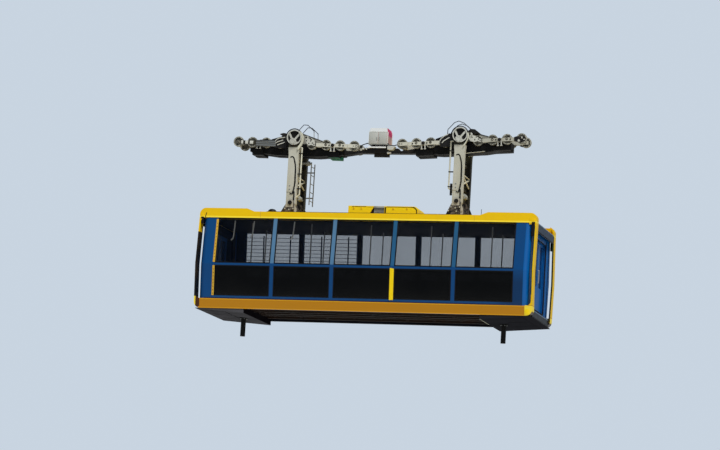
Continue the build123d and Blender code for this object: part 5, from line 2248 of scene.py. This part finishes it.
@dataclass
class Studio:
    """The pale floor at the camera's height, the soft lights and the even backdrop."""

    camera_height: float
    floor_size: float = 400.0
    floor_drop: float = 0.25
    backdrop: Colour = (0.58, 0.66, 0.75)
    ambient: Colour = (0.8, 0.9, 1.0)
    ambient_power: float = 0.24
    key_power: float = 3.1
    key_width: float = 18.0
    key_travel: Point = (-0.45, 0.47, -1.0)
    fill_power: float = 0.3
    fill_width: float = 60.0
    fill_travel: Point = (-0.5, 1.0, 0.1)

    def build(self) -> None:
        """Add the floor, the world's light and the lamps."""
        bpy.ops.object.select_all(action="DESELECT")
        height = self.camera_height - self.floor_drop
        bpy.ops.mesh.primitive_plane_add(size=self.floor_size, location=(0.0, 0.0, height))
        floor = bpy.context.object
        floor.name = "studio_floor"
        finish = Coat("studio_floor", paint(214, 214, 210), paint(200, 200, 196), 0.2, 0.9)
        floor.data.materials.append(finish.build())
        self._sky()
        self._lamp("key_light", self.key_power, self.key_width, self.key_travel)
        self._lamp("fill_light", self.fill_power, self.fill_width, self.fill_travel)
        bpy.context.scene.view_settings.view_transform = "Standard"

    def _sky(self) -> None:
        """Give the camera a pale even backdrop, and the object a dimmer soft light all round."""
        world = bpy.data.worlds.new("studio")
        world.use_nodes = True
        tree = world.node_tree
        shown = tree.nodes["Background"]
        shown.inputs["Color"].default_value = (*self.backdrop, 1.0)
        light = tree.nodes.new("ShaderNodeBackground")
        light.inputs["Color"].default_value = (*self.ambient, 1.0)
        light.inputs["Strength"].default_value = self.ambient_power
        path = tree.nodes.new("ShaderNodeLightPath")
        mix = tree.nodes.new("ShaderNodeMixShader")
        tree.links.new(path.outputs["Is Camera Ray"], mix.inputs[0])
        tree.links.new(light.outputs[0], mix.inputs[1])
        tree.links.new(shown.outputs[0], mix.inputs[2])
        tree.links.new(mix.outputs[0], tree.nodes["World Output"].inputs["Surface"])
        bpy.context.scene.world = world

    @staticmethod
    def _lamp(name: str, power: float, width: float, travel: Point) -> None:
        """Add one far lamp.

        Args:
            name: the lamp's name.
            power: its strength.
            width: its apparent width in degrees.
            travel: the way its light goes.
        """
        data = bpy.data.lights.new(name, "SUN")
        data.energy = power
        data.angle = math.radians(width)
        lamp = bpy.data.objects.new(name, data)
        lamp.rotation_euler = Vector(travel).to_track_quat("-Z", "Y").to_euler()
        bpy.context.scene.collection.objects.link(lamp)


def main() -> None:
    """Build the dressed cable car around its frame."""
    logging.basicConfig(level=logging.INFO, format="%(name)s: %(message)s")
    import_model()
    finishes = Finishes()
    for flank in Flank:
        Glazing(flank, finishes).build()
    Roof(finishes).build()
    Underside(finishes).build()
    for side in Side:
        EndFace(side, finishes).build()
        Hanger(side, finishes).build()
        Wheels(side, finishes).build()
        Carriage(side, finishes).build()
    ControlBox(finishes).build()
    camera = PhotoCamera()
    camera.build()
    Studio(camera.place().z).build()


if __name__ == "__main__":
    main()
